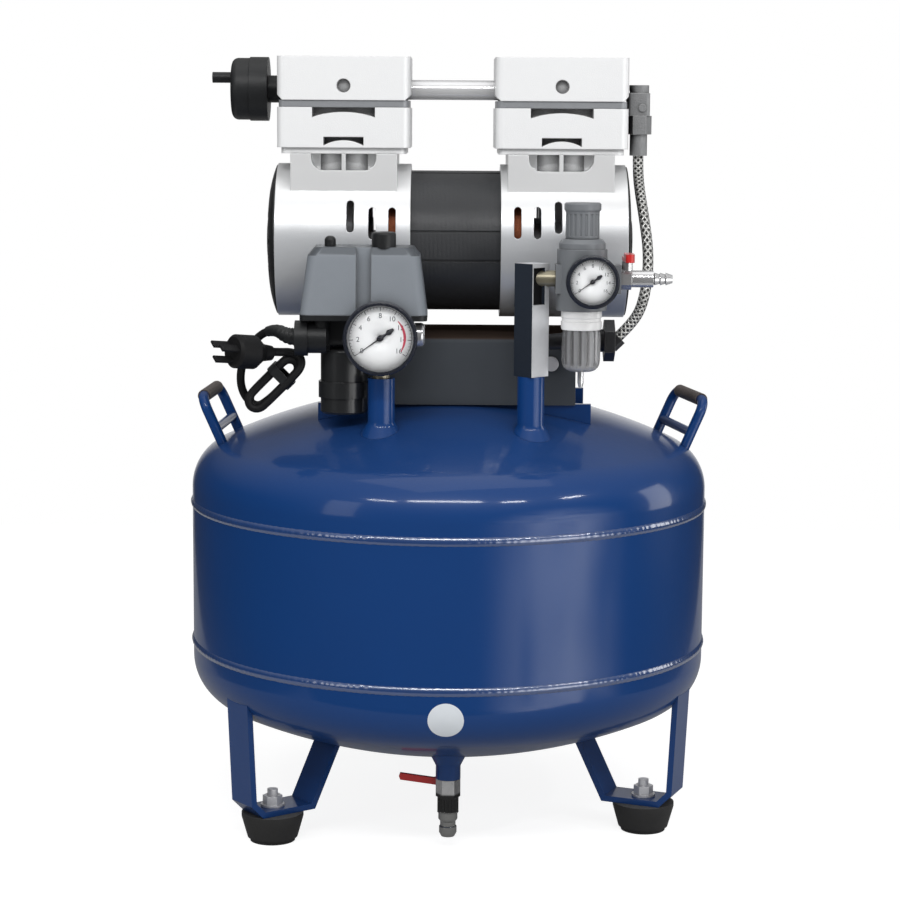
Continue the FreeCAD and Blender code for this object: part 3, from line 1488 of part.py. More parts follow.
def make_regulator():
    x = regulator_x
    y = stub_front
    z = regulator_port_height
    core = regulator_core()
    half = regulator_port_size / 2
    left = x - regulator_left_reach
    ports = box(left, x + regulator_right_reach, y - regulator_port_depth / 2,
                y + regulator_port_depth / 2, z - half, z + half)
    bonnet = turned([(0, 0), (bonnet_radius, 0), (bonnet_radius, bonnet_rise), (bonnet_neck, bonnet_height),
                     (0, bonnet_height)])
    bonnet.translate(vec(x, y, regulator_top))
    body = core.fuse(ports).fuse(bonnet)
    knob_low = regulator_top + bonnet_height + knob_rest_gap
    chamber = rod(9, 11, (x, y, regulator_top - 15))
    body = body.cut(chamber)
    body = body.cut(rod(spindle_radius + 0.05, 60, (x, y, regulator_top - 10)))
    width = regulator_left_reach + regulator_right_reach
    body = body.cut(rod(riser_bore, width + 2, (left - 1, y, z - 5), (1, 0, 0)))
    body = body.cut(rod(2.5, regulator_radius + 5, (regulator_gauge_x, y, z), (0, -1, 0)))
    body = body.cut(rod(6, 12, (x, y, regulator_bottom - 1)))
    save("regulator_body", body)

    foot_top = regulator_top - 4 - spindle_gap
    spindle = rod(7, 4, (x, y, foot_top - 4))
    spindle = spindle.fuse(rod(spindle_radius, knob_low - knob_rest_gap - foot_top, (x, y, foot_top)))
    spindle = spindle.fuse(hexagon(spindle_hex, 18, (x, y, knob_low - knob_rest_gap)))
    save("regulator_spindle", spindle)

    height = knob_height
    rim = height - knob_rim_height
    knob = turned([(0, 0), (knob_radius, 0), (knob_radius, rim - 1.8), (knob_rim_radius, rim),
                   (knob_rim_radius, height - 1), (knob_rim_radius - 1, height), (0, height)])
    flute = rod(1.4, rim - 5, (knob_radius + 0.6, 0, 2))
    for copy in ring_of(flute, knob_flutes, (0, 0, 0), (0, 0, 1)):
        knob = knob.cut(copy)
    knob.translate(vec(x, y, knob_low))
    socket = hexagon(spindle_hex + 2 * spindle_gap, 19.5, (x, y, knob_low - 0.5))
    save("regulator_knob", knob.cut(socket))

    ring_low = regulator_bottom - bowl_ring_height
    ring = turned([(bowl_radius - bowl_wall, 0), (bowl_radius + 1, 0), (bowl_ring_radius, 2),
                   (bowl_ring_radius, 5.2), (bowl_ring_radius - 1, 6), (bowl_ring_radius - 1, 8),
                   (bowl_ring_radius, 8.8), (bowl_ring_radius, bowl_ring_height),
                   (bowl_radius - bowl_wall, bowl_ring_height)])
    ring.translate(vec(x, y, ring_low))
    fall = ring_low - bowl_bottom
    pin_hole = drain_pin_radius + 0.3
    bowl = turned([(pin_hole, 0), (bowl_radius - 5, 0), ((bowl_radius - 1.5, 1.5), (bowl_radius, 5)),
                   (bowl_radius, fall), (bowl_radius - bowl_wall, fall),
                   (bowl_radius - bowl_wall, 6), (bowl_radius - 7, bowl_wall), (pin_hole, bowl_wall)])
    bowl.translate(vec(x, y, bowl_bottom))
    save("regulator_bowl", ring, bowl)

    pin_top = bowl_wall + spindle_gap
    pin = turned([(0, -drain_pin_below - 3.5), (drain_pin_radius - 0.8, -drain_pin_below - 3.5),
                  (drain_pin_radius, -drain_pin_below), (drain_pin_radius, pin_top), (5.0, pin_top),
                  (5.0, pin_top + 3), (0, pin_top + 3)])
    pin.translate(vec(x, y, bowl_bottom))
    save("regulator_drain", pin)


# Ball valves


def make_outlet_valve():
    y = stub_front
    z = regulator_port_height
    start = regulator_x + regulator_right_reach
    nut = hexagon(outlet_hex, 8, (start, y, z), (1, 0, 0))
    body = nut.fuse(rod(outlet_body_radius, outlet_body_length, (start, y, z), (1, 0, 0)))
    neck = rod(outlet_stem_radius + 1.8, outlet_stem_top - z - 2, (outlet_stem_x, y, z))
    body = body.fuse(neck)
    root = start + outlet_body_length
    barb = turned([(0, 0), (outlet_barb_radius - 1.4, 0), (outlet_barb_radius, 1.0),
                   (outlet_barb_radius - 1.2, 5.0), (outlet_barb_radius, 5.0),
                   (outlet_barb_radius - 1.2, 9.0),
                   (outlet_barb_radius, 9.0), (outlet_barb_radius - 1.6, outlet_barb_length),
                   (0, outlet_barb_length)])
    body = body.fuse(aimed(barb, (root, y, z), (1, 0, 0)))
    body = body.cut(rod(outlet_bore, outlet_body_length, (start, y, z), (1, 0, 0)))
    body = body.cut(rod(outlet_barb_bore, outlet_barb_length, (root, y, z), (1, 0, 0)))
    body = body.cut(Part.makeSphere(outlet_ball_radius + 0.06, vec(outlet_stem_x, y, z)))
    body = body.cut(rod(outlet_stem_radius + 0.06, 30, (outlet_stem_x, y, z)))
    save("outlet_valve_body", body)

    ball = Part.makeSphere(outlet_ball_radius, vec(outlet_stem_x, y, z))
    stem = rod(outlet_stem_radius, outlet_stem_top + 4 - z, (outlet_stem_x, y, z))
    ball = ball.fuse(stem).cut(rod(outlet_bore, 20, (outlet_stem_x, y - 10, z), (0, 1, 0)))
    low = outlet_stem_top - 1.5
    half = outlet_lever_width / 2
    tip = y - outlet_lever_reach
    steps = [(outlet_stem_x - half, y), (outlet_stem_x - half * 0.8, tip + half),
             ((outlet_stem_x, tip), (outlet_stem_x + half * 0.8, tip + half)),
             (outlet_stem_x + half, y), ((outlet_stem_x, y + half), (outlet_stem_x - half, y))]
    lever = slab_xy(steps, low, outlet_lever_thickness)
    grip = slab_xy([(outlet_stem_x - half * 0.85, y - 10), (outlet_stem_x - half * 0.8, tip + half),
                    ((outlet_stem_x, tip), (outlet_stem_x + half * 0.8, tip + half)),
                    (outlet_stem_x + half * 0.85, y - 10)], low, outlet_lever_thickness + 3)
    save("outlet_valve_lever", ball.fuse(lever).fuse(grip))


def make_drain_valve():
    x = drain_x
    y = drain_y
    top = drain_boss_bottom
    low = top - drain_body_length
    body = hexagon(drain_body_size, drain_body_length, (x, y, low))
    centre = low + drain_body_length / 2
    body = body.fuse(rod(drain_stem_radius + 1.6, drain_body_size / 2 + 0.2, (x, y, centre), (0, 1, 0)))
    body = body.cut(rod(drain_bore, 30, (x, y, low - 5)))
    body = body.cut(Part.makeSphere(drain_ball_radius + 0.06, vec(x, y, centre)))
    body = body.cut(rod(drain_stem_radius + 0.06, 20, (x, y, centre), (0, 1, 0)))
    collar_low = low - drain_collar_length
    collar = pipe(drain_collar_radius, drain_bore, drain_collar_length, (x, y, collar_low))
    for copy in ring_of(rod(0.9, drain_collar_length - 2, (x + drain_collar_radius + 0.3, y, collar_low + 1)),
                        16, (x, y, 0), (0, 0, 1)):
        collar = collar.cut(copy)
    tip = -drain_nozzle_length
    nozzle = turned([(drain_nozzle_bore, 0), (drain_collar_radius - 0.8, 0), (drain_collar_radius - 0.8, -5),
                     (drain_collar_radius - 2.2, -7), (drain_collar_radius - 2.2, -10),
                     (drain_collar_radius - 1.4, -11), (drain_collar_radius - 1.4, tip + 3),
                     (drain_collar_radius - 3, tip), (drain_nozzle_bore, tip)])
    nozzle.translate(vec(x, y, collar_low))
    save("drain_valve_body", body, collar, nozzle)

    ball = Part.makeSphere(drain_ball_radius, vec(x, y, centre))
    stem = rod(drain_stem_radius, drain_stem_length, (x, y, centre), (0, 1, 0))
    ball = ball.fuse(stem).cut(rod(drain_bore, 20, (x - 10, y, centre), (1, 0, 0)))
    near = y + drain_body_size / 2 + 0.6
    half = drain_lever_width / 2
    eye = rod(drain_lever_eye, drain_lever_thickness, (x, near, centre), (0, 1, 0))
    rise = drain_lever_crank
    steps = [(x, centre - half), (x - 6, centre - half + 1), (x - 11, centre + rise - half),
             (x - drain_lever_reach, centre + rise + 3.5 - half),
             (x - drain_lever_reach - 1, centre + rise + 3.5),
             (x - drain_lever_reach, centre + rise + 3.5 + half),
             (x - 11, centre + rise + half), (x - 4, centre + half + 3), (x, centre + half)]
    arm = slab_xz(steps, near, drain_lever_thickness)
    save("drain_valve_lever", ball.fuse(eye).fuse(arm))


# Capacitor


def make_capacitor():
    height = capacitor_height
    can = turned([(0, 0), (capacitor_radius - 1.5, 0), (capacitor_radius, 1.5),
                  (capacitor_radius, height - 2),
                  ((capacitor_radius - 0.6, height - 0.6), (capacitor_radius - 2, height)), (0, height)])
    can.translate(vec(capacitor_x, capacitor_y, capacitor_bottom))
    inner = capacitor_radius + clamp_gap
    band = pipe(inner + clamp_thickness, inner, clamp_width, (capacitor_x, capacitor_y, clamp_height))
    tab = box(capacitor_x - clamp_tab / 2, capacitor_x + clamp_tab / 2, capacitor_y, bridge_front,
              clamp_height, clamp_height + clamp_width)
    band = band.fuse(tab.cut(rod(inner, clamp_width + 2, (capacitor_x, capacitor_y, clamp_height - 1))))
    save("capacitor", can, band)


# Cord, hank and plug


def make_cord():
    cord = swept_tube("power_cord", cord_route, cord_radius)
    lead = swept_tube("plug_lead", plug_lead_route, cord_radius)
    save("power_cord", cord, lead)
    lower = vec(*hank_lower)
    upper = vec(*hank_upper)
    run = upper - lower
    hank = rod(hank_radius, run.Length, hank_lower, tuple(run))
    hank = hank.fuse(Part.makeSphere(hank_radius, lower)).fuse(Part.makeSphere(hank_radius, upper))
    hank = hank.cut(cord).cut(lead)
    save("cord_hank", max(hank.Solids, key=lambda s: s.Volume))

    neck = plug_neck_length
    end = neck + plug_body_length
    body = turned([(0, 0), (plug_neck_radius, 0), (plug_neck_radius + 1, neck), (plug_radius, neck + 8),
                   (plug_radius, end - 2), (plug_radius - 2, end), (0, end)])
    for turn in range(3):
        angle = math.radians(90 + 120 * turn)
        px = plug_pin_spacing * math.cos(angle)
        py = plug_pin_spacing * math.sin(angle)
        body = body.fuse(box(px - 0.8, px + 0.8, py - 3, py + 3, end - 1, end + plug_pin_length))
    plug = aimed(body, plug_back, plug_direction).cut(lead)
    save("plug", plug)


os.makedirs("parts", exist_ok=True)
make_tank()
fasteners = make_legs()
make_handles()
make_tank_fittings()
fasteners += make_bridge()
save("steel_fasteners", *fasteners)
make_motor()
make_heads()
make_air_lines()
make_elbow()
riser = riser_bar()
make_hose_and_check_valve(riser)
make_riser(riser)
make_brass(riser)
make_gauges()
make_manifold()
make_switch()
make_regulator()
make_outlet_valve()
make_drain_valve()
make_capacitor()
make_cord()
print("nodes", part_count)
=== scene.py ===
import json
import math

import bmesh
import bpy
import numpy as np
from mathutils import Matrix

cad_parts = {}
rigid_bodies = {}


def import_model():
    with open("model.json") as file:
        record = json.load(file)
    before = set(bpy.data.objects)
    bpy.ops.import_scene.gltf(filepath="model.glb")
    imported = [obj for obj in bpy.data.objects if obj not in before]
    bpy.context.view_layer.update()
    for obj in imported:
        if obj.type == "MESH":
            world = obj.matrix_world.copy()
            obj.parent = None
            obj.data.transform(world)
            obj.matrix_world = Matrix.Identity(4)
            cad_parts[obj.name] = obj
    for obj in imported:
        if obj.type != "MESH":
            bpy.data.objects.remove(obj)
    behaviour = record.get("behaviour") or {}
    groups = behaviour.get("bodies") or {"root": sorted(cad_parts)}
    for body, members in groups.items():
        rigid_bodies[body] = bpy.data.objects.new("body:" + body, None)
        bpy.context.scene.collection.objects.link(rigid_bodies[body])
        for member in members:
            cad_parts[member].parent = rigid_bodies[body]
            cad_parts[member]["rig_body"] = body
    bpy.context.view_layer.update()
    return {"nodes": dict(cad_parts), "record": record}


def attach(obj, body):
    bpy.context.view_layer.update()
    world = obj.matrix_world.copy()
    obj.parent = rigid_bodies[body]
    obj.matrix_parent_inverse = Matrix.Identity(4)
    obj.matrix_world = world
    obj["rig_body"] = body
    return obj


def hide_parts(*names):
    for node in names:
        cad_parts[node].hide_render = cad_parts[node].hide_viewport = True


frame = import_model()
nodes = frame["nodes"]

# Sizes repeated from the part's source, in metres
TANK_RADIUS = 0.200
TANK_WALL = 0.003
SHELL_BOTTOM = 0.139
SHELL_LENGTH = 0.1085
SHELL_TOP = SHELL_BOTTOM + SHELL_LENGTH
HEAD_FLANGE = 0.012
HEAD_KNUCKLE = 0.038
HEAD_CROWN = 0.420
SEAM_RADIUS = 0.20005
SEAM_WIDTH = 0.007
SEAM_HEIGHT = 0.0016
STUB_FRONT = -0.110
RISER_X = 0.060
RISER_HALF = 0.009
POCKET_BOTTOM = 0.4085
HOSE_RADIUS = 0.0040
CORD_RADIUS = 0.0031
BOWL_CENTRE = (0.0965, STUB_FRONT, 0.405)

# The dials' middles as (x, z), their faces' y and their radii
TANK_DIAL = (-0.050, 0.386)
TANK_DIAL_FACE = -0.140
TANK_DIAL_RADIUS = 0.0246
REGULATOR_DIAL = (0.1024, 0.428)
REGULATOR_DIAL_FACE = -0.145
REGULATOR_DIAL_RADIUS = 0.0170

# Points nearer than the first are joined, and edges shorter than the second are taken out
JOIN_WITHIN = 2e-6
SHORTEST_EDGE = 1e-7
# Faces whose normals and offsets fall in one step, a 500th and a 100th of a millimetre, are one flat
NORMAL_STEPS = 500
OFFSET_STEPS = 1e5


# Meshes from grids of points


def grid_mesh(name, grid, close_first=False, close_second=False):
    """Quads between neighbours of a grid of points, indexed [first, second]. A closed way joins its end to
    its start. The UV map runs from 0 to 1 along both ways."""
    first, second = grid.shape[:2]
    rows = np.arange(first if close_first else first - 1)
    columns = np.arange(second if close_second else second - 1)
    r, c = np.meshgrid(rows, columns, indexing="ij")
    r2 = (r + 1) % first
    c2 = (c + 1) % second
    quads = np.stack([r * second + c, r2 * second + c, r2 * second + c2, r * second + c2], -1)
    mesh = bpy.data.meshes.new(name)
    mesh.from_pydata(grid.reshape(-1, 3), [], quads.reshape(-1, 4))
    u = np.stack([r, r + 1, r + 1, r], -1).reshape(-1) / len(rows)
    v = np.stack([c, c, c + 1, c + 1], -1).reshape(-1) / len(columns)
    layer = mesh.uv_layers.new(name="UVMap")
    layer.data.foreach_set("uv", np.stack([u, v], -1).reshape(-1))
    return mesh


def read(items, key, width=1, kind=float):
    """One property of all the items of a mesh, as an array, or as rows where its width is above 1."""
    out = np.empty(len(items) * width, kind)
    items.foreach_get(key, out)
    return out.reshape(-1, width) if width > 1 else out


def weigh_normals(mesh, smooth_angle):
    """At each face corner the normal is the sum of the normals of the faces round its point that lie within
    the smooth angle, each times the area of the whole flat it belongs to, so that broad flats stay flat
    beside fillets."""
    vertex = read(mesh.loops, "vertex_index", kind=np.int32)
    corners = len(vertex)
    normal = read(mesh.polygons, "normal", 3)
    area = read(mesh.polygons, "area")
    offset = (normal * read(mesh.polygons, "center", 3)).sum(1)
    plane = np.round(np.column_stack([normal * NORMAL_STEPS, offset * OFFSET_STEPS])).astype(np.int64)
    group = np.unique(plane, axis=0, return_inverse=True)[1].reshape(-1)
    weight = np.bincount(group, area)[group]
    face = np.repeat(np.arange(len(area)), read(mesh.polygons, "loop_total", kind=np.int32))
    order = np.argsort(vertex, kind="stable")
    count = np.bincount(vertex)
    start = np.concatenate([[0], np.cumsum(count)[:-1]])
    many = count[vertex]
    first = np.repeat(np.arange(corners), many)
    step = np.arange(len(first)) - np.repeat(np.cumsum(many) - many, many)
    second = order[start[vertex[first]] + step]
    near = (normal[face[first]] * normal[face[second]]).sum(1) > math.cos(math.radians(smooth_angle))
    share = weight[face[second]] * near
    out = np.stack([np.bincount(first, normal[face[second], k] * share, corners) for k in range(3)], -1)
    out /= np.maximum(np.linalg.norm(out, axis=1), 1e-20)[:, None]
    mesh.normals_split_custom_set(out.tolist())


def finish_mesh(mesh, smooth_angle=35):
    """Join points that coincide, turn the faces outwards and smooth all but the sharp edges."""
    work = bmesh.new()
    work.from_mesh(mesh)
    bmesh.ops.remove_doubles(work, verts=work.verts, dist=JOIN_WITHIN)
    bmesh.ops.dissolve_degenerate(work, edges=work.edges, dist=SHORTEST_EDGE)
    bmesh.ops.recalc_face_normals(work, faces=work.faces)
    work.to_mesh(mesh)
    work.free()
    mesh.set_sharp_from_angle(angle=math.radians(smooth_angle))
    mesh.polygons.foreach_set("use_smooth", np.ones(len(mesh.polygons), bool))
    mesh.update()
    weigh_normals(mesh, smooth_angle)
    return mesh


def join_meshes(name, meshes):
    """One mesh holding several, with their UV maps."""
    work = bmesh.new()
    for mesh in meshes:
        work.from_mesh(mesh)
    out = bpy.data.meshes.new(name)
    work.to_mesh(out)
    work.free()
    return out


def new_object(name, data):
    """An object in the scene for a mesh, a curve, a lamp or the camera."""
    obj = bpy.data.objects.new(name, data)
    bpy.context.scene.collection.objects.link(obj)
    return obj


def piece(name, mesh, slot=None, replaced=(), material=None, body="compressor"):
    """An object that rides on a body, with its slot, its finish, which is the slot's own where none is given,
    and the solids that it stands for."""
    obj = new_object(name, mesh)
    mesh.materials.clear()
    mesh.materials.append(material or finishes[slot])
    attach(obj, body)
    if replaced:
        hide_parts(*replaced)
    return obj


def full_turn(count):
    """Angles of so many equal steps round a circle."""
    return np.linspace(0, 2 * math.pi, count, endpoint=False)


def revolved(profile, centre=(0, 0, 0), axis="z", steps=192):
    """Profile of (radius, height) pairs carried round an axis: (r cos a, r sin a) across it, height along."""
    profile = np.asarray(profile, float)
    angle = full_turn(steps)
    radius = profile[:, 0][:, None]
    across = radius * np.cos(angle)
    up = radius * np.sin(angle)
    along = np.broadcast_to(profile[:, 1][:, None], across.shape)
    order = {"z": (across, up, along), "x": (along, across, up), "y": (up, along, across)}[axis]
    return np.stack(order, -1) + np.asarray(centre)


def tube_along(points, radius, sides=24):
    """Circle carried along a smooth line: point + r (side cos a + other sin a), where each ring's side is
    the last one made square to the line again, so that it turns as little as can be."""
    points = np.asarray(points, float)
    ways = np.gradient(points, axis=0)
    ways /= np.linalg.norm(ways, axis=1)[:, None]
    side = np.cross(ways[0], (0.0, 0.0, 1.0))
    if np.linalg.norm(side) < 1e-3:
        side = np.cross(ways[0], (0.0, 1.0, 0.0))
    sides_at = [side / np.linalg.norm(side)]
    for way in ways[1:]:
        moved = sides_at[-1] - way * np.dot(sides_at[-1], way)
        sides_at.append(moved / np.linalg.norm(moved))
    side = np.array(sides_at)
    other = np.cross(ways, side)
    angle = full_turn(sides)
    ring = side[:, None] * np.cos(angle)[:, None] + other[:, None] * np.sin(angle)[:, None]
    return points[:, None] + radius * ring


CURVE_STEPS = 12


def mesh_of(curve):
    """The mesh that a curve or a text makes; the curve itself is removed."""
    obj = new_object(curve.name, curve)
    depsgraph = bpy.context.evaluated_depsgraph_get()
    mesh = bpy.data.meshes.new_from_object(obj.evaluated_get(depsgraph))
    bpy.data.objects.remove(obj)
    bpy.data.curves.remove(curve)
    return mesh


def smooth_line(points):
    """Points read from the NURBS line of a curve through a route's control points."""
    mesh = mesh_of(nurbs_curve("line", points, 0.0))
    line = read(mesh.vertices, "co", 3)
    bpy.data.meshes.remove(mesh)
    return line


def nurbs_curve(name, points, radius):
    """A curve of one open NURBS spline of order 3 through control points, as a capped tube or a bare line."""
    curve = bpy.data.curves.new(name, "CURVE")
    curve.dimensions = "3D"
    curve.bevel_depth = radius
    curve.bevel_resolution = 5
    curve.use_fill_caps = radius > 0
    spline = curve.splines.new("NURBS")
    spline.points.add(len(points) - 1)
    spline.points.foreach_set("co", np.hstack([points, np.ones((len(points), 1))]).reshape(-1))
    spline.order_u = 3
    spline.use_endpoint_u = True
    spline.resolution_u = CURVE_STEPS
    return curve


# Shader groups


SOCKET_KINDS = {"Colour": "NodeSocketColor", "Shade": "NodeSocketColor", "Normal": "NodeSocketVector"}


def new_group(name, inputs, outputs):
    """A shader group, what it is given and what it has to fill. Sockets without a kind of their own are
    numbers."""
    group = bpy.data.node_groups.new(name, "ShaderNodeTree")
    for way, labels in (("INPUT", inputs), ("OUTPUT", outputs)):
        for label in labels:
            kind = SOCKET_KINDS.get(label, "NodeSocketFloat")
            group.interface.new_socket(label, in_out=way, socket_type=kind)
    return group, group.nodes.new("NodeGroupInput").outputs, group.nodes.new("NodeGroupOutput").inputs


def feed(tree, socket, value):
    """An input takes another node's result or a plain value."""
    if isinstance(value, bpy.types.NodeSocket):
        tree.links.new(value, socket)
    else:
        socket.default_value = value


def set_up(tree, node, **settings):
    """Settings of a node; names that aren't properties are those of its inputs."""
    for key, value in settings.items():
        if hasattr(node, key):
            setattr(node, key, value)
        else:
            feed(tree, node.inputs[key.replace("_", " ")], value)


def add(tree, kind, **settings):
    """A new node with its settings."""
    node = tree.nodes.new(kind)
    set_up(tree, node, **settings)
    return node


def combine(tree, kind, first, second, **settings):
    """The results of a new node that works on two values."""
    node = add(tree, kind, **settings)
    for socket, value in zip(node.inputs, (first, second)):
        feed(tree, socket, value)
    return node.outputs


def maths(tree, operation, first, second=0.0, clamp=False):
    """A Math node's result from two numbers or sockets."""
    return combine(tree, "ShaderNodeMath", first, second, operation=operation, use_clamp=clamp)[0]


def ramp(tree, value, start, slope):
    """(value - start) times the slope, kept between 0 and 1."""
    return maths(tree, "MULTIPLY", maths(tree, "SUBTRACT", value, start), slope, True)


def object_place(tree):
    """The place on the object, in metres."""
    return tree.nodes.new("ShaderNodeTexCoord").outputs["Object"]


def flat_normal(tree):
    """The normal of the face, without relief."""
    return tree.nodes.new("ShaderNodeNewGeometry").outputs["Normal"]


def parts_of(tree, vector):
    """The X, Y and Z of a vector."""
    return add(tree, "ShaderNodeSeparateXYZ", Vector=vector).outputs


def noise(tree, **settings):
    """Cloudy noise over the place on the object."""
    return add(tree, "ShaderNodeTexNoise", Vector=object_place(tree), **settings).outputs["Fac"]


def mixed(tree, amount, first, second):
    """Colour between two colours, by an amount from 0 to 1."""
    node = add(tree, "ShaderNodeMix", data_type="RGBA")
    for index, value in ((0, amount), (6, first), (7, second)):
        feed(tree, node.inputs[index], value)
    return node.outputs[2]


DUST_COLOUR = (0.55, 0.54, 0.51, 1)
DUST_SLOPE = 0.35
# Painted shade in hollows: its near-black colour, how far the occlusion looks, and how open a place may be
# before it darkens
CAVITY_SHADE_COLOUR = (0.012, 0.012, 0.014, 1)
CAVITY_SHADE_REACH = 0.012
CAVITY_SHADE_START = 0.86


def make_mottle():
    """Cloudy change of a colour and of its roughness, specks of dust on faces that look up, and painted shade
    in hollows. Dust grows with the normal's z past its slope, and the painted shade where a place is less
    open than its start."""
    group, give, take = new_group(
        "mottled finish", ("Colour", "Shade", "Scale", "Amount", "Roughness", "Spread", "Dust", "Grime"),
        ("Colour", "Roughness"))
    clouds = noise(group, Scale=give["Scale"], Detail=6.0, Roughness=0.62)
    specks = noise(group, Scale=900.0, Detail=3.0)
    colour = mixed(group, maths(group, "MULTIPLY", clouds, give["Amount"]), give["Colour"], give["Shade"])
    upward = ramp(group, parts_of(group, flat_normal(group))["Z"], DUST_SLOPE, 1.0)
    settled = maths(group, "MULTIPLY", upward, give["Dust"])
    dust = maths(group, "MULTIPLY", settled, specks, True)
    dusty = mixed(group, dust, colour, DUST_COLOUR)
    # Painted shade: the colour darkens to near-black in hollows, where the ambient occlusion is low
    open_sky = add(group, "ShaderNodeAmbientOcclusion", samples=6, Distance=CAVITY_SHADE_REACH)
    hollow = ramp(group, open_sky.outputs["AO"], CAVITY_SHADE_START, -1.5)
    cavity_shaded = mixed(group, maths(group, "MULTIPLY", hollow, give["Grime"]), dusty, CAVITY_SHADE_COLOUR)
    swing = maths(group, "MULTIPLY", maths(group, "SUBTRACT", clouds, 0.5), give["Spread"])
    rough = maths(group, "ADD", give["Roughness"], maths(group, "MULTIPLY", swing, 2.0))
    rough = maths(group, "ADD", rough, maths(group, "MULTIPLY", dust, 0.4), True)
    group.links.new(cavity_shaded, take["Colour"])
    group.links.new(rough, take["Roughness"])
    return group


def make_relief():
    """Rounded edges, a broad waviness and a fine grain in one normal, and a mask of the worn edges, where the
    rounded normal departs from the flat one."""
    group, give, take = new_group("relief", ("Edge", "Grain", "Grain depth", "Wave", "Wave depth"),
                                  ("Normal", "Edge mask"))
    edge = add(group, "ShaderNodeBevel", samples=4, Radius=give["Edge"]).outputs["Normal"]
    last = edge
    for size, detail in (("Wave", 2.0), ("Grain", 4.0)):
        height = noise(group, Scale=give[size], Detail=detail)
        last = add(group, "ShaderNodeBump", Distance=0.001, Strength=give[size + " depth"], Height=height,
                   Normal=last).outputs["Normal"]
    level = combine(group, "ShaderNodeVectorMath", edge, flat_normal(group), operation="DOT_PRODUCT")
    group.links.new(last, take["Normal"])
    group.links.new(ramp(group, level["Value"], 0.995, -6.0), take["Edge mask"])
    return group


mottle = make_mottle()
relief = make_relief()


def new_material(name):
    """A material, its node tree and its Principled BSDF."""
    material = bpy.data.materials.new(name)
    material.use_nodes = True
    return material, material.node_tree, material.node_tree.nodes["Principled BSDF"]


def finish_of(name, colour, shade, roughness, metallic=0.0, scale=40.0, amount=0.6, spread=0.06, dust=0.0,
              edge=0.0006, grain=900.0, grain_depth=0.08, wave=60.0, wave_depth=0.0, wear=None, coat=0.0,
              coat_roughness=0.05, coat_ior=1.5, specular=0.5, cavity_shade=0.5):
    """Opaque finish: mottled colour, roughness that varies, rounded and worn edges, grain."""
    material, tree, bsdf = new_material(name)
    look = add(tree, "ShaderNodeGroup", node_tree=mottle, Colour=(*colour, 1), Shade=(*shade, 1), Scale=scale,
               Amount=amount, Roughness=roughness, Spread=spread, Dust=dust, Grime=cavity_shade).outputs
    shape = add(tree, "ShaderNodeGroup", node_tree=relief, Edge=edge, Grain=grain, Grain_depth=grain_depth,
                Wave=wave, Wave_depth=wave_depth).outputs
    paint = look["Colour"]
    if wear:
        paint = mixed(tree, shape["Edge mask"], paint, (*wear, 1))
    set_up(tree, bsdf, Base_Color=paint, Roughness=look["Roughness"], Normal=shape["Normal"],
           Metallic=metallic, Coat_Weight=coat, Coat_Roughness=coat_roughness, Coat_IOR=coat_ior,
           Specular_IOR_Level=specular)
    return material


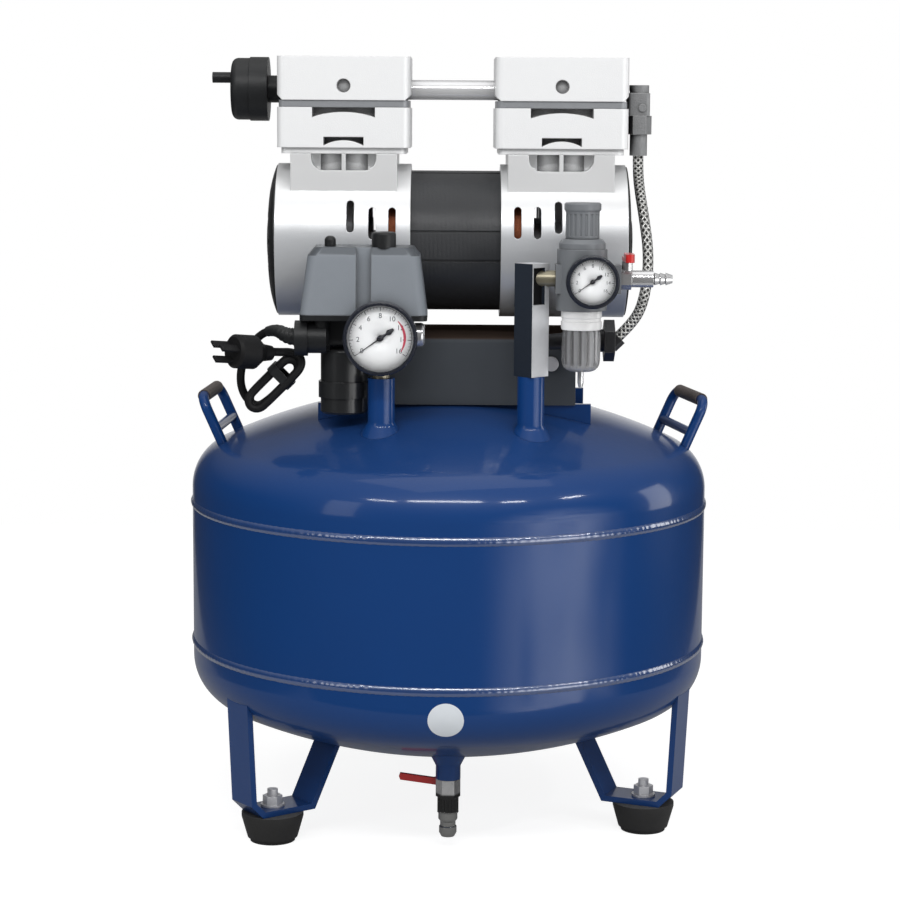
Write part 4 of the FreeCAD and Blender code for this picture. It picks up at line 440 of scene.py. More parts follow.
TANK_BLUE = (0.0048, 0.047, 0.192)
TANK_BLUE_SHADE = (0.0032, 0.033, 0.144)
finishes = {
    "tank_paint": finish_of(
        "tank enamel", TANK_BLUE, TANK_BLUE_SHADE, roughness=0.34, scale=7.0, spread=0.08, dust=0.05,
        grain=260.0, grain_depth=0.04, wave=20.0, wave_depth=0.20, coat=0.55, coat_roughness=0.10,
        specular=0.14),
    "black_rubber": finish_of(
        "foot rubber", (0.012, 0.012, 0.013), (0.035, 0.034, 0.032), roughness=0.62, scale=60.0, dust=0.5,
        grain=1400.0, grain_depth=0.25),
    "zinc_steel": finish_of(
        "zinc plating", (0.82, 0.82, 0.84), (0.56, 0.56, 0.58), roughness=0.30, metallic=0.45, scale=300.0,
        grain=2000.0, grain_depth=0.08),
    "grip_sleeve": finish_of(
        "grip sleeve", (0.120, 0.095, 0.085), (0.060, 0.048, 0.044), roughness=0.55, scale=150.0,
        grain=1500.0, grain_depth=0.3),
    "nickel": finish_of(
        "nickel plating", (0.80, 0.80, 0.81), (0.62, 0.62, 0.62), roughness=0.16, metallic=0.72, scale=200.0,
        grain=1200.0, grain_depth=0.03),
    "drain_chrome": finish_of(
        "drain chrome", (0.72, 0.72, 0.72), (0.34, 0.34, 0.34), roughness=0.14, metallic=0.90, scale=260.0,
        grain=1200.0, grain_depth=0.05, cavity_shade=1.0),
    "bead_paint": finish_of(
        "bead enamel", TANK_BLUE, TANK_BLUE_SHADE, roughness=0.30, scale=60.0, grain=420.0, grain_depth=0.10,
        coat=1.0, coat_roughness=0.17, coat_ior=2.2),
    "red_lever": finish_of(
        "red vinyl", (0.62, 0.020, 0.018), (0.42, 0.010, 0.010), roughness=0.30, scale=120.0, grain=900.0,
        grain_depth=0.12, coat=0.3),
    "bridge_paint": finish_of(
        "bridge paint", (0.070, 0.077, 0.086), (0.045, 0.050, 0.058), roughness=0.34, scale=14.0, grain=500.0,
        grain_depth=0.05, wave=18.0, wave_depth=0.2, wear=(0.20, 0.21, 0.22), specular=0.0),
    "copper_winding": finish_of(
        "varnished copper", (0.45, 0.13, 0.05), (0.28, 0.07, 0.03), roughness=0.35, metallic=0.7, scale=500.0,
        grain=1200.0, grain_depth=0.6),
    "bright_steel": finish_of(
        "ground steel", (0.56, 0.56, 0.57), (0.36, 0.36, 0.37), roughness=0.28, metallic=1.0, scale=260.0,
        grain=1800.0, grain_depth=0.1),
    "black_plastic": finish_of(
        "black plastic", (0.011, 0.012, 0.013), (0.020, 0.021, 0.023), roughness=0.40, scale=80.0, dust=0.08,
        grain=1600.0, grain_depth=0.16, specular=0.35),
    "bell_silver": finish_of(
        "silver coat", (0.69, 0.705, 0.725), (0.59, 0.605, 0.63), roughness=0.34, metallic=0.42, scale=30.0,
        grain=1500.0, grain_depth=0.10, wave=70.0, wave_depth=0.10, wear=(0.78, 0.79, 0.80), edge=0.0010,
        cavity_shade=0.8),
    "cast_silver": finish_of(
        "cast aluminium", (0.88, 0.885, 0.89), (0.78, 0.79, 0.80), roughness=0.34, metallic=0.12, scale=45.0,
        grain=1300.0, grain_depth=0.16, wave=90.0, wave_depth=0.10, wear=(0.85, 0.85, 0.86), edge=0.0010,
        cavity_shade=1.0),
    "ring_silver": finish_of(
        "guard ring", (0.95, 0.95, 0.95), (0.92, 0.92, 0.92), roughness=0.24, scale=90.0, grain=1500.0,
        grain_depth=0.06, cavity_shade=0.0),
    "bright_tube": finish_of(
        "drawn tube", (0.84, 0.84, 0.85), (0.70, 0.70, 0.71), roughness=0.22, metallic=0.45, scale=120.0,
        grain=1500.0, grain_depth=0.05),
    "plate_grey": finish_of(
        "valve plate", (0.34, 0.35, 0.37), (0.22, 0.23, 0.24), roughness=0.40, metallic=0.3, scale=120.0,
        grain=900.0, grain_depth=0.10),
    "grey_casting": finish_of(
        "grey casting", (0.30, 0.305, 0.31), (0.12, 0.122, 0.125), roughness=0.42, metallic=0.3, scale=200.0,
        grain=900.0, grain_depth=0.35, wear=(0.5, 0.5, 0.5), cavity_shade=1.0),
    "black_fitting": finish_of(
        "black oxide", (0.025, 0.025, 0.028), (0.05, 0.05, 0.052), roughness=0.38, metallic=0.4, scale=160.0,
        grain=1300.0, grain_depth=0.12, wear=(0.2, 0.2, 0.2)),
    "brass": finish_of(
        "turned brass", (0.38, 0.35, 0.26), (0.24, 0.21, 0.14), roughness=0.36, metallic=0.70, scale=220.0,
        grain=1500.0, grain_depth=0.08),
    "switch_grey": finish_of(
        "switch plastic", (0.205, 0.227, 0.255), (0.155, 0.173, 0.195), roughness=0.42, scale=26.0, dust=0.05,
        grain=2200.0, grain_depth=0.22, wear=(0.22, 0.235, 0.255), edge=0.0016, cavity_shade=0.8),
    "gauge_black": finish_of(
        "gauge case", (0.012, 0.014, 0.022), (0.022, 0.025, 0.035), roughness=0.25, scale=90.0, grain=900.0,
        grain_depth=0.05, coat=0.4),
    "needle_black": finish_of(
        "needle paint", (0.012, 0.013, 0.025), (0.020, 0.022, 0.035), roughness=0.4, scale=300.0),
    "regulator_grey": finish_of(
        "regulator body", (0.185, 0.197, 0.211), (0.130, 0.140, 0.152), roughness=0.38, scale=50.0, dust=0.15,
        grain=1500.0, grain_depth=0.16, wear=(0.24, 0.25, 0.265), cavity_shade=0.9),
    "capacitor_black": finish_of(
        "capacitor can", (0.014, 0.015, 0.016), (0.024, 0.025, 0.027), roughness=0.30, scale=60.0, dust=0.1,
        grain=600.0, grain_depth=0.08, coat=0.2),
    "cord_black": finish_of(
        "cord jacket", (0.008, 0.008, 0.009), (0.016, 0.016, 0.016), roughness=0.5, scale=300.0, grain=1600.0,
        grain_depth=0.2, edge=0.0003, specular=0.2),
    "riser_metal": finish_of(
        "milled bar", (0.80, 0.81, 0.83), (0.58, 0.59, 0.61), roughness=0.30, metallic=0.42, scale=160.0,
        grain=1200.0, grain_depth=0.12),
}


def emboss(material, height, strength, distance):
    """A height raises the finish's own normal, where it has one, or the face's."""
    tree = material.node_tree
    normal = tree.nodes["Principled BSDF"].inputs["Normal"]
    before = {"Normal": link.from_socket for link in normal.links}
    bump = add(tree, "ShaderNodeBump", Strength=strength, Distance=distance, Height=height, **before)
    tree.links.new(bump.outputs["Normal"], normal)


def tint(material, amount, colour):
    """The base colour turns to another by an amount from 0 to 1."""
    tree = material.node_tree
    base = tree.nodes["Principled BSDF"].inputs["Base Color"]
    tree.links.new(mixed(tree, amount, base.links[0].from_socket, (*colour, 1)), base)


def lamination_paint():
    """Black paint over a stack of thin sheets, whose edges are fine rings along X."""
    material = finish_of("stator paint", (0.036, 0.038, 0.042), (0.018, 0.019, 0.021), roughness=0.38,
                         scale=30.0, dust=0.04, grain=700.0, grain_depth=0.15)
    tree = material.node_tree
    sheets = add(tree, "ShaderNodeTexWave", bands_direction="X", Vector=object_place(tree), Scale=320.0,
                 Distortion=0.4, Detail=1.0)
    emboss(material, sheets.outputs["Fac"], 0.35, 0.0004)
    return material


def clear_finish(name, colour, roughness, weight=1.0, ior=1.45, alpha=1.0):
    """Clear plastic, smeared by cloudy noise in its colour and its roughness."""
    material, tree, bsdf = new_material(name)
    smear = noise(tree, Scale=90.0, Detail=4.0)
    set_up(tree, bsdf, Transmission_Weight=weight, IOR=ior, Alpha=alpha,
           Roughness=maths(tree, "ADD", roughness, maths(tree, "MULTIPLY", smear, roughness)),
           Base_Color=mixed(tree, smear, (*colour, 1), (*[0.9 * c for c in colour], 1)))
    return material


finishes["stator_black"] = lamination_paint()
finishes["clear_lens"] = clear_finish("gauge lens", (0.98, 0.98, 0.98), 0.02, ior=1.20, alpha=0.22)


def shaded(material, source, axis, low, high, colour):
    """The base colour turns to another along one part of the place or normal: (v - low) / (high - low)."""
    tree = material.node_tree
    tint(material, ramp(tree, parts_of(tree, source(tree))[axis], low, 1 / (high - low)), colour)


def shade_pocket(material):
    """Painted shade in the riser's pocket, black: where x - y is less than sqrt 2 times the pocket's reach
    past the riser's middle, on faces that look right, above the pocket's lower end."""
    tree = material.node_tree
    place = parts_of(tree, object_place(tree))
    slant = maths(tree, "SUBTRACT", place["X"], place["Y"])
    depth = maths(tree, "SUBTRACT", slant, RISER_X - STUB_FRONT)
    inside = maths(tree, "LESS_THAN", depth, POCKET_REACH * math.sqrt(2))
    right = maths(tree, "GREATER_THAN", parts_of(tree, flat_normal(tree))["X"], POCKET_FACING)
    high = maths(tree, "MULTIPLY", maths(tree, "GREATER_THAN", place["Z"], POCKET_BOTTOM), right)
    tint(material, maths(tree, "MULTIPLY", inside, high), (0.012, 0.012, 0.013))


# Half a millimetre under the riser's right face, and how far right a pocket's face looks
POCKET_REACH = RISER_HALF - 0.0005
POCKET_FACING = 0.3

# Heights between which the bells turn paler, a painted highlight on their upper part, and the drain valve
# dark and then pale again downwards
BELL_HIGHLIGHT = (0.455, 0.486)
DRAIN_DARKER = (0.0440, 0.0425)
DRAIN_PALER = (0.0300, 0.0285)

# Painted highlight: the bells' upper part turns paler
shaded(finishes["bell_silver"], object_place, "Z", *BELL_HIGHLIGHT, (0.88, 0.885, 0.89))
# Painted shade and reflection: faces of the bridge that look up turn dark brown
shaded(finishes["bridge_paint"], flat_normal, "Z", 0.60, 0.90, (0.052, 0.037, 0.030))
# Painted shade: faces of the riser that look left turn dark blue-grey
shaded(finishes["riser_metal"], flat_normal, "X", -0.2, -0.5, (0.030, 0.039, 0.056))
# Painted shade: the inside of the riser's pocket is black
shade_pocket(finishes["riser_metal"])
shaded(finishes["drain_chrome"], object_place, "Z", *DRAIN_DARKER, (0.045, 0.045, 0.045))
shaded(finishes["drain_chrome"], object_place, "Z", *DRAIN_PALER, (0.32, 0.32, 0.31))
# Painted shade: faces of the switch cover that look up turn darker
shaded(finishes["switch_grey"], flat_normal, "Z", 0.30, 0.75, (0.060, 0.068, 0.078))


# Smooth copies of the solids whose shape is already right


def dress(name, smooth_angle=32):
    """A merged, smoothed copy of a solid takes the solid's place and its finish."""
    source = nodes[name]
    slot = next(s["material_slot"] for s in frame["record"]["subparts"] if s["node"] == name)
    mesh = source.data.copy()
    mesh.name = name + "_skin"
    while mesh.uv_layers:
        mesh.uv_layers.remove(mesh.uv_layers[0])
    finish_mesh(mesh, smooth_angle)
    return piece(name + "_skin", mesh, slot, (name,), body=source["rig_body"])


own_shapes = {"tank_shell", "tank_top_head", "tank_bottom_head", "seam_welds", "power_cord", "cord_hank",
              "delivery_hose", "regulator_bowl", "tank_gauge_needle", "regulator_gauge_needle"}
skins = {}
for node_name in sorted(nodes):
    if node_name not in own_shapes:
        skins[node_name] = dress(node_name)
skins["drain_valve_body"].data.materials[0] = finishes["drain_chrome"]
skins["valve_plates"].data.materials[0] = finishes["plate_grey"]


# Tank


def arc(centre, radius, start, stop, count):
    """Points of an arc between two angles in degrees: centre + r (cos a, sin a)."""
    angle = np.radians(np.linspace(start, stop, count))
    return np.stack([centre[0] + radius * np.cos(angle), centre[1] + radius * np.sin(angle)], -1)


def dish_profile(inset):
    """Flange, knuckle arc and crown arc of a dished head or its inner wall, from the seam to the middle."""
    side = TANK_RADIUS - HEAD_KNUCKLE
    fall = math.sqrt((HEAD_CROWN - HEAD_KNUCKLE) ** 2 - side ** 2)
    turn = math.degrees(math.atan2(fall, side))
    edge = np.array([[TANK_RADIUS - inset, 0.0], [TANK_RADIUS - inset, HEAD_FLANGE / 2]])
    knuckle = arc((side, HEAD_FLANGE), HEAD_KNUCKLE - inset, 0, turn, 22)
    crown = arc((0, HEAD_FLANGE - fall), HEAD_CROWN - inset, turn, 90, 40)[1:]
    return np.vstack([edge, knuckle, crown])


def make_tank():
    """Rolled shell and two dished heads, each an outer and an inner wall carried round the tank's axis."""
    head = np.vstack([dish_profile(0.0), dish_profile(TANK_WALL)[::-1]])
    top = head + (0, SHELL_TOP)
    bottom = head * (1, -1) + (0, SHELL_BOTTOM)
    heights = np.linspace(SHELL_BOTTOM, SHELL_TOP, 14)
    outer = np.stack([np.full(len(heights), TANK_RADIUS), heights], -1)
    shell = np.vstack([outer, outer[::-1] - (TANK_WALL, 0)])
    for name, profile in (("tank_shell", shell), ("tank_top_head", top), ("tank_bottom_head", bottom)):
        mesh = finish_mesh(grid_mesh(name, revolved(profile, steps=256), True, True), 50)
        piece(name + "_skin", mesh, "tank_paint", (name,))


SEAM_RIPPLES = 230
SEAM_SINK = 0.0001


def make_seams():
    """Weld beads: the radius grows by the height times (1 - v v) times ripples times a wander, and z by half
    the width times v, with v from -1 to 1 across. The ripples are cosines along the seam, and their phase
    wanders with the same sines."""
    angle = full_turn(1100)
    across = np.linspace(-1, 1, 11)
    beads = []
    for height, seed in ((SHELL_BOTTOM, 3), (SHELL_TOP, 8)):
        random = np.random.default_rng(seed)
        wander = sum(random.uniform(0.1, 0.35) * np.sin(waves * angle + random.uniform(0, 6))
                     for waves in (5, 11, 23, 41))
        phase = (SEAM_RIPPLES * angle + 2.2 * wander + 1.3 * np.sin(67 * angle + seed))[:, None]
        ripple = 0.5 + 0.5 * np.cos(phase + 1.6 * across ** 2)
        crown = (1 - across ** 2) * (0.80 + 0.15 * ripple) * (0.92 + 0.12 * wander[:, None])
        radius = SEAM_RADIUS - SEAM_SINK + SEAM_HEIGHT * np.clip(crown, 0, 1)
        z = height + SEAM_WIDTH / 2 * across * (0.92 + 0.04 * np.sin(phase + 1.0))
        outside = np.stack([radius * np.cos(angle)[:, None], radius * np.sin(angle)[:, None], z], -1)
        inside = outside[:, ::-1].copy()
        inside[..., :2] *= ((SEAM_RADIUS - 2 * SEAM_SINK) / radius[:, ::-1])[..., None]
        beads.append(grid_mesh("bead", np.concatenate([outside, inside], 1), True, True))
    mesh = finish_mesh(join_meshes("seam_welds", beads), 60)
    piece("seam_welds_skin", mesh, "tank_paint", ("seam_welds",), finishes["bead_paint"])


make_tank()
make_seams()


# Braided hose

BRAID_TURNS_ALONG = 34
BRAID_TURNS_ROUND = 5


def braid_finish():
    """Stainless braid: two sets of strands slanting opposite ways round the hose, as the greater of
    sin (u + v) and sin (u - v) in the tube's own UV map, dark where it is low."""
    material = finish_of("steel braid", (0.68, 0.68, 0.66), (0.50, 0.50, 0.48), roughness=0.30,
                         metallic=0.60, scale=400.0, grain=2500.0, grain_depth=0.1, edge=0.0002)
    tree = material.node_tree
    uv = parts_of(tree, add(tree, "ShaderNodeUVMap", uv_map="UVMap").outputs[0])
    along = maths(tree, "MULTIPLY", uv["X"], 2 * math.pi * BRAID_TURNS_ALONG)
    across = maths(tree, "MULTIPLY", uv["Y"], 2 * math.pi * BRAID_TURNS_ROUND)
    one = maths(tree, "SINE", maths(tree, "ADD", along, across))
    two = maths(tree, "SINE", maths(tree, "SUBTRACT", along, across))
    height = maths(tree, "MAXIMUM", one, two)
    emboss(material, height, 0.9, 0.0006)
    tint(material, ramp(tree, height, 0.62, -1.0), (0.03, 0.03, 0.03))
    return material


finishes["braided_steel"] = braid_finish()
hose_route = (
    (0.1425, -0.025, 0.516),
    (0.1425, -0.025, 0.504),
    (0.1437, -0.0295, 0.490),
    (0.1465, -0.0415, 0.470),
    (0.1490, -0.0595, 0.445),
    (0.1471, -0.074, 0.422),
    (0.1425, -0.0785, 0.403),
    (0.1343, -0.080, 0.3911),
    (0.1259, -0.080, 0.3829),
)


def make_hose():
    """The braided hose, a tube along its route's smooth line."""
    mesh = grid_mesh("delivery_hose", tube_along(smooth_line(hose_route), HOSE_RADIUS), False, True)
    piece("delivery_hose_skin", finish_mesh(mesh), "braided_steel", ("delivery_hose",))


make_hose()


# Power cord, its hank and plug

cord_start = (
    (-0.1135, -0.110, 0.384),
    (-0.1185, -0.110, 0.384),
    (-0.1275, -0.1055, 0.389),
    (-0.1395, -0.097, 0.385),
    (-0.151, -0.089, 0.371),
    (-0.1565, -0.084, 0.353),
    (-0.1545, -0.081, 0.338),
    (-0.1445, -0.0797, 0.3275),
)
cord_end = (
    (-0.1092, -0.1015, 0.3605),
    (-0.1095, -0.1005, 0.3680),
    (-0.1165, -0.0970, 0.3715),
    (-0.1259, -0.0969, 0.3712),
    (-0.1320, -0.1020, 0.3720),
)
HANK_CENTRE = (-0.1305, -0.0805, 0.3475)
HANK_TURNS = 3
HANK_PITCH = 0.0066
HANK_HALF = 0.0065
# One turn as (along, across) the hank
hank_round = (
    (-0.0120, -HANK_HALF),
    (0.0, -HANK_HALF),
    (0.0120, -HANK_HALF),
    (0.0205, -0.0060),
    (0.0242, 0.0),
    (0.0205, 0.0060),
    (0.0120, HANK_HALF),
    (0.0, HANK_HALF),
    (-0.0120, HANK_HALF),
    (-0.0205, 0.0060),
    (-0.0242, 0.0),
    (-0.0205, -0.0060),
)
TIE_PLACE = 0.008
TIE_WIDTH = 0.007
TIE_LAYERS = (0.0002, 0.0014)
SLEEVE_LENGTH = 0.024
SLEEVE_RADIUS = 0.0066
SLEEVE_TAPER = 0.0028
SLEEVE_RINGS = 7


def hank_place(along, across, y):
    """Point of the hank, whose turns lie at 45 degrees in upright planes: x = cx + (along - across) / sqrt 2
    and z = cz + (along + across) / sqrt 2."""
    tilt = math.sqrt(0.5)
    x = HANK_CENTRE[0] + (along - across) * tilt
    z = HANK_CENTRE[2] + (along + across) * tilt
    return np.stack(np.broadcast_arrays(x, y, z), -1)


def make_tie():
    """Band round the hank, between two layers: a rounded square, (cos a, sin a) over the fourth root of
    cos^4 a + sin^4 a, as broad as the hank and as deep as its turns."""
    width = np.linspace(-TIE_WIDTH / 2, TIE_WIDTH / 2, 7)
    angle = full_turn(64)
    reach = 1.0 / (np.abs(np.cos(angle)) ** 4 + np.abs(np.sin(angle)) ** 4) ** 0.25
    last = HANK_CENTRE[1] - HANK_PITCH * (HANK_TURNS - 0.2)
    middle = (HANK_CENTRE[1] + last) / 2
    layers = []
    for extra in TIE_LAYERS:
        across = (HANK_HALF + CORD_RADIUS + extra) * reach * np.cos(angle)
        y = middle + ((HANK_CENTRE[1] - last) / 2 + CORD_RADIUS + extra) * reach * np.sin(angle)
        layers.append(hank_place(TIE_PLACE + width[:, None], across[None], y[None]))
    band = np.concatenate([layers[0], layers[1][::-1]], 0)
    return piece("hank_tie", finish_mesh(grid_mesh("hank_tie", band, True, True), 50), "black_plastic")


def make_sleeve(line):
    """Ribbed sleeve round the cord's first stretch: a radius that tapers and ripples along it, as
    start - taper t + 0.4 mm (1 - t) cos (2 pi rings t)."""
    gone = np.cumsum(np.r_[0, np.linalg.norm(np.diff(line, axis=0), axis=1)])
    line = line[gone < SLEEVE_LENGTH]
    grow = np.linspace(0, 1, len(line))
    ripple = 0.0004 * np.cos(grow * SLEEVE_RINGS * 2 * math.pi) * (1 - grow)
    outer = tube_along(line, (SLEEVE_RADIUS - SLEEVE_TAPER * grow + ripple)[:, None, None])
    inner = tube_along(line, CORD_RADIUS + 0.0001)
    mesh = grid_mesh("cord_sleeve", np.concatenate([outer, inner[::-1]], 0), True, True)
    return piece("cord_sleeve", finish_mesh(mesh, 50), "black_plastic")


def make_cord():
    """Cord from its gland, wound in a small hank, and back up into the plug."""
    turn = np.array(hank_round)
    count = HANK_TURNS * len(turn) + 3
    turns = turn[np.arange(count) % len(turn)]
    depth = HANK_CENTRE[1] - HANK_PITCH * np.arange(count) / len(turn)
    route = np.vstack([cord_start, hank_place(turns[:, 0], turns[:, 1], depth), cord_end])
    line = smooth_line(route)
    cord = new_object("power_cord_skin", nurbs_curve("power_cord_skin", route, CORD_RADIUS))
    cord.data.materials.append(finishes["cord_black"])
    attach(cord, "compressor")
    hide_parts("power_cord", "cord_hank")
    tie = make_tie()
    sleeve = make_sleeve(line)


make_cord()


# Filter bowl

BOWL_RIBS = 14
RIB_HEIGHT = 0.0008
BOWL_WALL = 0.0020
DRAIN_HOLE = 0.0030
# Heights from the top of the guard ring: where the ribs start, the bowl's foot, and where its foot turns
# pale, a painted reflection
RIBS_TOP = -0.0150
BOWL_FOOT = -0.0450
FOOT_REFLECTION = (-0.0385, -0.0415)


def frosted_finish():
    """Grey polycarbonate, clouded, with painted shade streaked from rib to rib by the sine of the ribs' angle
    round its middle, and a painted reflection that makes its foot pale."""
    material = clear_finish("filter bowl", (0.62, 0.625, 0.64), 0.10, weight=0.66)
    tree = material.node_tree
    place = parts_of(tree, object_place(tree))
    turn = maths(tree, "ARCTAN2", maths(tree, "SUBTRACT", place["X"], BOWL_CENTRE[0]),
                 maths(tree, "SUBTRACT", place["Y"], BOWL_CENTRE[1]))
    rib_shade = maths(tree, "SINE", maths(tree, "MULTIPLY", turn, BOWL_RIBS))
    # Painted shade: dark streaks from rib to rib
    tint(material, ramp(tree, rib_shade, -0.4, 0.8), (0.23, 0.23, 0.235))
    # Painted reflection: the bowl's foot turns pale
    low, high = (BOWL_CENTRE[2] + height for height in FOOT_REFLECTION)
    shaded(material, object_place, "Z", low, high, (0.66, 0.66, 0.66))
    emboss(material, noise(tree, Scale=240.0, Detail=5.0), 0.3, 0.0004)
    return material


def make_bowl():
    """Bright guard ring with a groove, above a ribbed bowl: the outer wall is the profile's radius plus the
    rib's height times cos (ribs a), cut off and faded out at both ends, and the inner wall is round."""
    x, y, top = BOWL_CENTRE
    profile = [(0.0118, 0.0), (0.0142, 0.0), (0.0150, -0.0006), (0.0150, -0.0052), (0.0143, -0.0058),
               (0.0143, -0.0078), (0.0150, -0.0084), (0.0150, -0.0124), (0.0146, -0.0142), (0.0118, -0.0142)]
    ring = finish_mesh(grid_mesh("bowl_ring", revolved(profile, (x, y, top), steps=160), True, True), 40)
    piece("bowl_ring", ring, "cast_silver", ("regulator_bowl",), finishes["ring_silver"])

    height = np.array([-0.0138, -0.0150, -0.0200, -0.0260, -0.0320, -0.0370, -0.0402, -0.0424, -0.0440,
                       -0.0449, -0.0450, -0.0450])
    radius = np.array([0.0130, 0.0134, 0.0134, 0.0134, 0.0134, 0.0133, 0.0130, 0.0123, 0.0107, 0.0085,
                       0.0055, 0.0030])
    angle = full_turn(288)
    rib = RIB_HEIGHT * np.clip(np.cos(BOWL_RIBS * angle) * 2.2 - 0.9, 0, 1)
    side = np.clip((RIBS_TOP - height) / 0.004, 0, 1) * np.clip((height - BOWL_FOOT - 0.0020) / 0.004, 0, 1)
    out = radius[:, None] + side[:, None] * rib
    wall = np.maximum(radius - BOWL_WALL, DRAIN_HOLE)
    inner = np.broadcast_to(wall[:, None], out.shape)
    floor_rise = np.clip(BOWL_WALL - (height - BOWL_FOOT) * 0.02, 0, BOWL_WALL)
    inner_height = height + floor_rise * (height < BOWL_FOOT + 0.0070)
    rings = np.concatenate([out, inner[::-1]], 0)
    heights = np.concatenate([height, inner_height[::-1]])
    grid = np.stack([x + rings * np.cos(angle), y + rings * np.sin(angle),
                     np.broadcast_to((top + heights)[:, None], rings.shape)], -1)
    bowl = finish_mesh(grid_mesh("bowl_glass", grid, True, True), 60)
    piece("bowl_glass", bowl, "bowl_clear", ("regulator_bowl",), frosted_finish())


make_bowl()


# Gauge dials and the blank sticker

# The scale runs clockwise over its sweep from its start, in degrees, and the needles rest at its start
SCALE_START = 215
SCALE_SWEEP = 250
SCALE_MARKS = 41
NUMERALS = 9
# Shares of the dial's radius: where the marks start and end, and the rings of the numerals and the red band
LONG_MARKS = 0.80
SHORT_MARKS = 0.86
MARKS_END = 0.92
NUMERAL_RING = 0.66
NUMERAL_SIZE = 0.21
BAND_RING = 0.72
CARD_THICKNESS = 0.00012
INK_THICKNESS = 0.00005
# How far the card, the ink and the red band lie in front of the dial's face
CARD_RISE = 0.0001
INK_RISE = 0.00022
BAND_RISE = 0.00030
NEEDLE_RISE = 0.0012
NEEDLE_THICKNESS = 0.0005
STICKER_RADIUS = 0.0130
STICKER_PLACE = (-0.001, 0.118)
STICKER_THICKNESS = 0.00012


def print_finish(name, colour, roughness=0.5):
    """Print or film: a thin finish that is hardly mottled and has no dust or painted shade in hollows."""
    return finish_of(name, colour, tuple(0.86 * c for c in colour), roughness, scale=120.0, amount=0.35,
                     grain=1800.0, grain_depth=0.02, edge=0.00002, cavity_shade=0.0)


def thicken(obj, thickness):
    """A flat piece gets its thickness, half to each side."""
    solid = obj.modifiers.new("thickness", "SOLIDIFY")
    solid.thickness = thickness
    solid.offset = 0.0


def number_meshes(labels, places, size):
    """Plain numerals stood upright on the dial's plane, facing -Y."""
    meshes = []
    for label, place in zip(labels, places):
        curve = bpy.data.curves.new("numeral", "FONT")
        curve.body = label
        curve.size = size
        curve.align_x = "CENTER"
        curve.align_y = "CENTER"
        curve.extrude = 0.00003
        mesh = mesh_of(curve)
        mesh.transform(Matrix.Translation(place) @ Matrix.Rotation(math.pi / 2, 4, "X"))
        meshes.append(mesh)
    return meshes


def dial_strips(centre, y, inner, outer, start, stop):
    """Quads between two radii and two angles each, as one mesh: (x, z) = centre + r (cos a, sin a)."""
    inner, outer, start, stop = np.broadcast_arrays(inner, outer, start, stop)
    radius = np.stack([inner, outer, outer, inner], -1)
    angle = np.radians(np.stack([start, start, stop, stop], -1))
    points = np.stack([centre[0] + radius * np.cos(angle), np.full(radius.shape, y),
                       centre[1] + radius * np.sin(angle)], -1).reshape(-1, 3)
    mesh = bpy.data.meshes.new("strips")
    mesh.from_pydata(points, [], np.arange(len(points)).reshape(-1, 4))
    return mesh


def make_dial(name, centre, face, radius, red):
    """White card with a scale, plain numbers and, where it is asked for, a red band at the upper end."""
    card = revolved([(0.0013, 0.0), (radius * 0.5, 0.0), (radius, 0.0)],
                    (centre[0], face - CARD_RISE, centre[1]), "y", 96)
    mesh = finish_mesh(grid_mesh(name + "_card", card, False, True))
    thicken(piece(name + "_card", mesh, material=dial_white), CARD_THICKNESS)

    ink = face - INK_RISE
    turn = SCALE_START - SCALE_SWEEP * np.linspace(0, 1, SCALE_MARKS)
    long = np.arange(SCALE_MARKS) % 5 == 0
    width = np.where(long, 0.55, 0.30) * 0.024 / radius
    marks = dial_strips(centre, ink, np.where(long, LONG_MARKS, SHORT_MARKS) * radius, MARKS_END * radius,
                        turn - width, turn + width)
    ring = np.linspace(SCALE_START, SCALE_START - SCALE_SWEEP, 61)
    line = dial_strips(centre, ink, 0.915 * radius, 0.93 * radius, ring[:-1], ring[1:])
    marks = finish_mesh(join_meshes(name + "_scale", [marks, line]))
    thicken(piece(name + "_scale", marks, material=dial_ink), INK_THICKNESS)

    at = np.radians(SCALE_START - SCALE_SWEEP * np.linspace(0, 1, NUMERALS))
    places = np.stack([centre[0] + NUMERAL_RING * radius * np.cos(at), np.full(NUMERALS, ink),
                       centre[1] + NUMERAL_RING * radius * np.sin(at)], -1)
    labels = [str(2 * k) for k in range(NUMERALS)]
    numerals = number_meshes(labels, places.tolist(), NUMERAL_SIZE * radius)
    piece(name + "_numbers", finish_mesh(join_meshes(name + "_numbers", numerals)), material=dial_ink)

    if red:
        bend = np.linspace(44, -33, 25)
        half = 0.010 + 0.028 * np.sin(np.linspace(0.04, 0.96, 24) * math.pi)
        band = dial_strips(centre, face - BAND_RISE, (BAND_RING - half) * radius,
                           (BAND_RING + half) * radius, bend[:-1], bend[1:])
        thicken(piece(name + "_band", finish_mesh(band), material=dial_red), INK_THICKNESS)


def make_needle(name, centre, face, radius):
    """Thin pointer with a broad tail, round a hub: an outline in shares of the dial's radius, turned to the
    scale's start by (x, z) = centre + R (u cos a - v sin a, u sin a + v cos a)."""
    half = np.array([(0.78, 0.006), (0.12, 0.020), (0.09, 0.055), (0.03, 0.085), (-0.04, 0.085),
                     (-0.10, 0.040), (-0.20, 0.030), (-0.30, 0.085), (-0.46, 0.040), (-0.48, 0.012)])
    outline = np.vstack([half, half[::-1] * (1, -1)]) * radius
    turn = math.radians(SCALE_START)
    x = centre[0] + outline[:, 0] * math.cos(turn) - outline[:, 1] * math.sin(turn)
    z = centre[1] + outline[:, 0] * math.sin(turn) + outline[:, 1] * math.cos(turn)
    points = np.stack([x, np.full(len(x), face - NEEDLE_RISE), z], -1)
    count = len(half)
    row = np.arange(count - 1)
    quads = np.stack([row, row + 1, 2 * count - 2 - row, 2 * count - 1 - row], -1)
    mesh = bpy.data.meshes.new(name + "_pointer")
    mesh.from_pydata(points, [], quads)
    pointer = piece(name + "_pointer", finish_mesh(mesh), "needle_black", (name,),
                    body=nodes[name]["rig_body"])
    thicken(pointer, NEEDLE_THICKNESS)


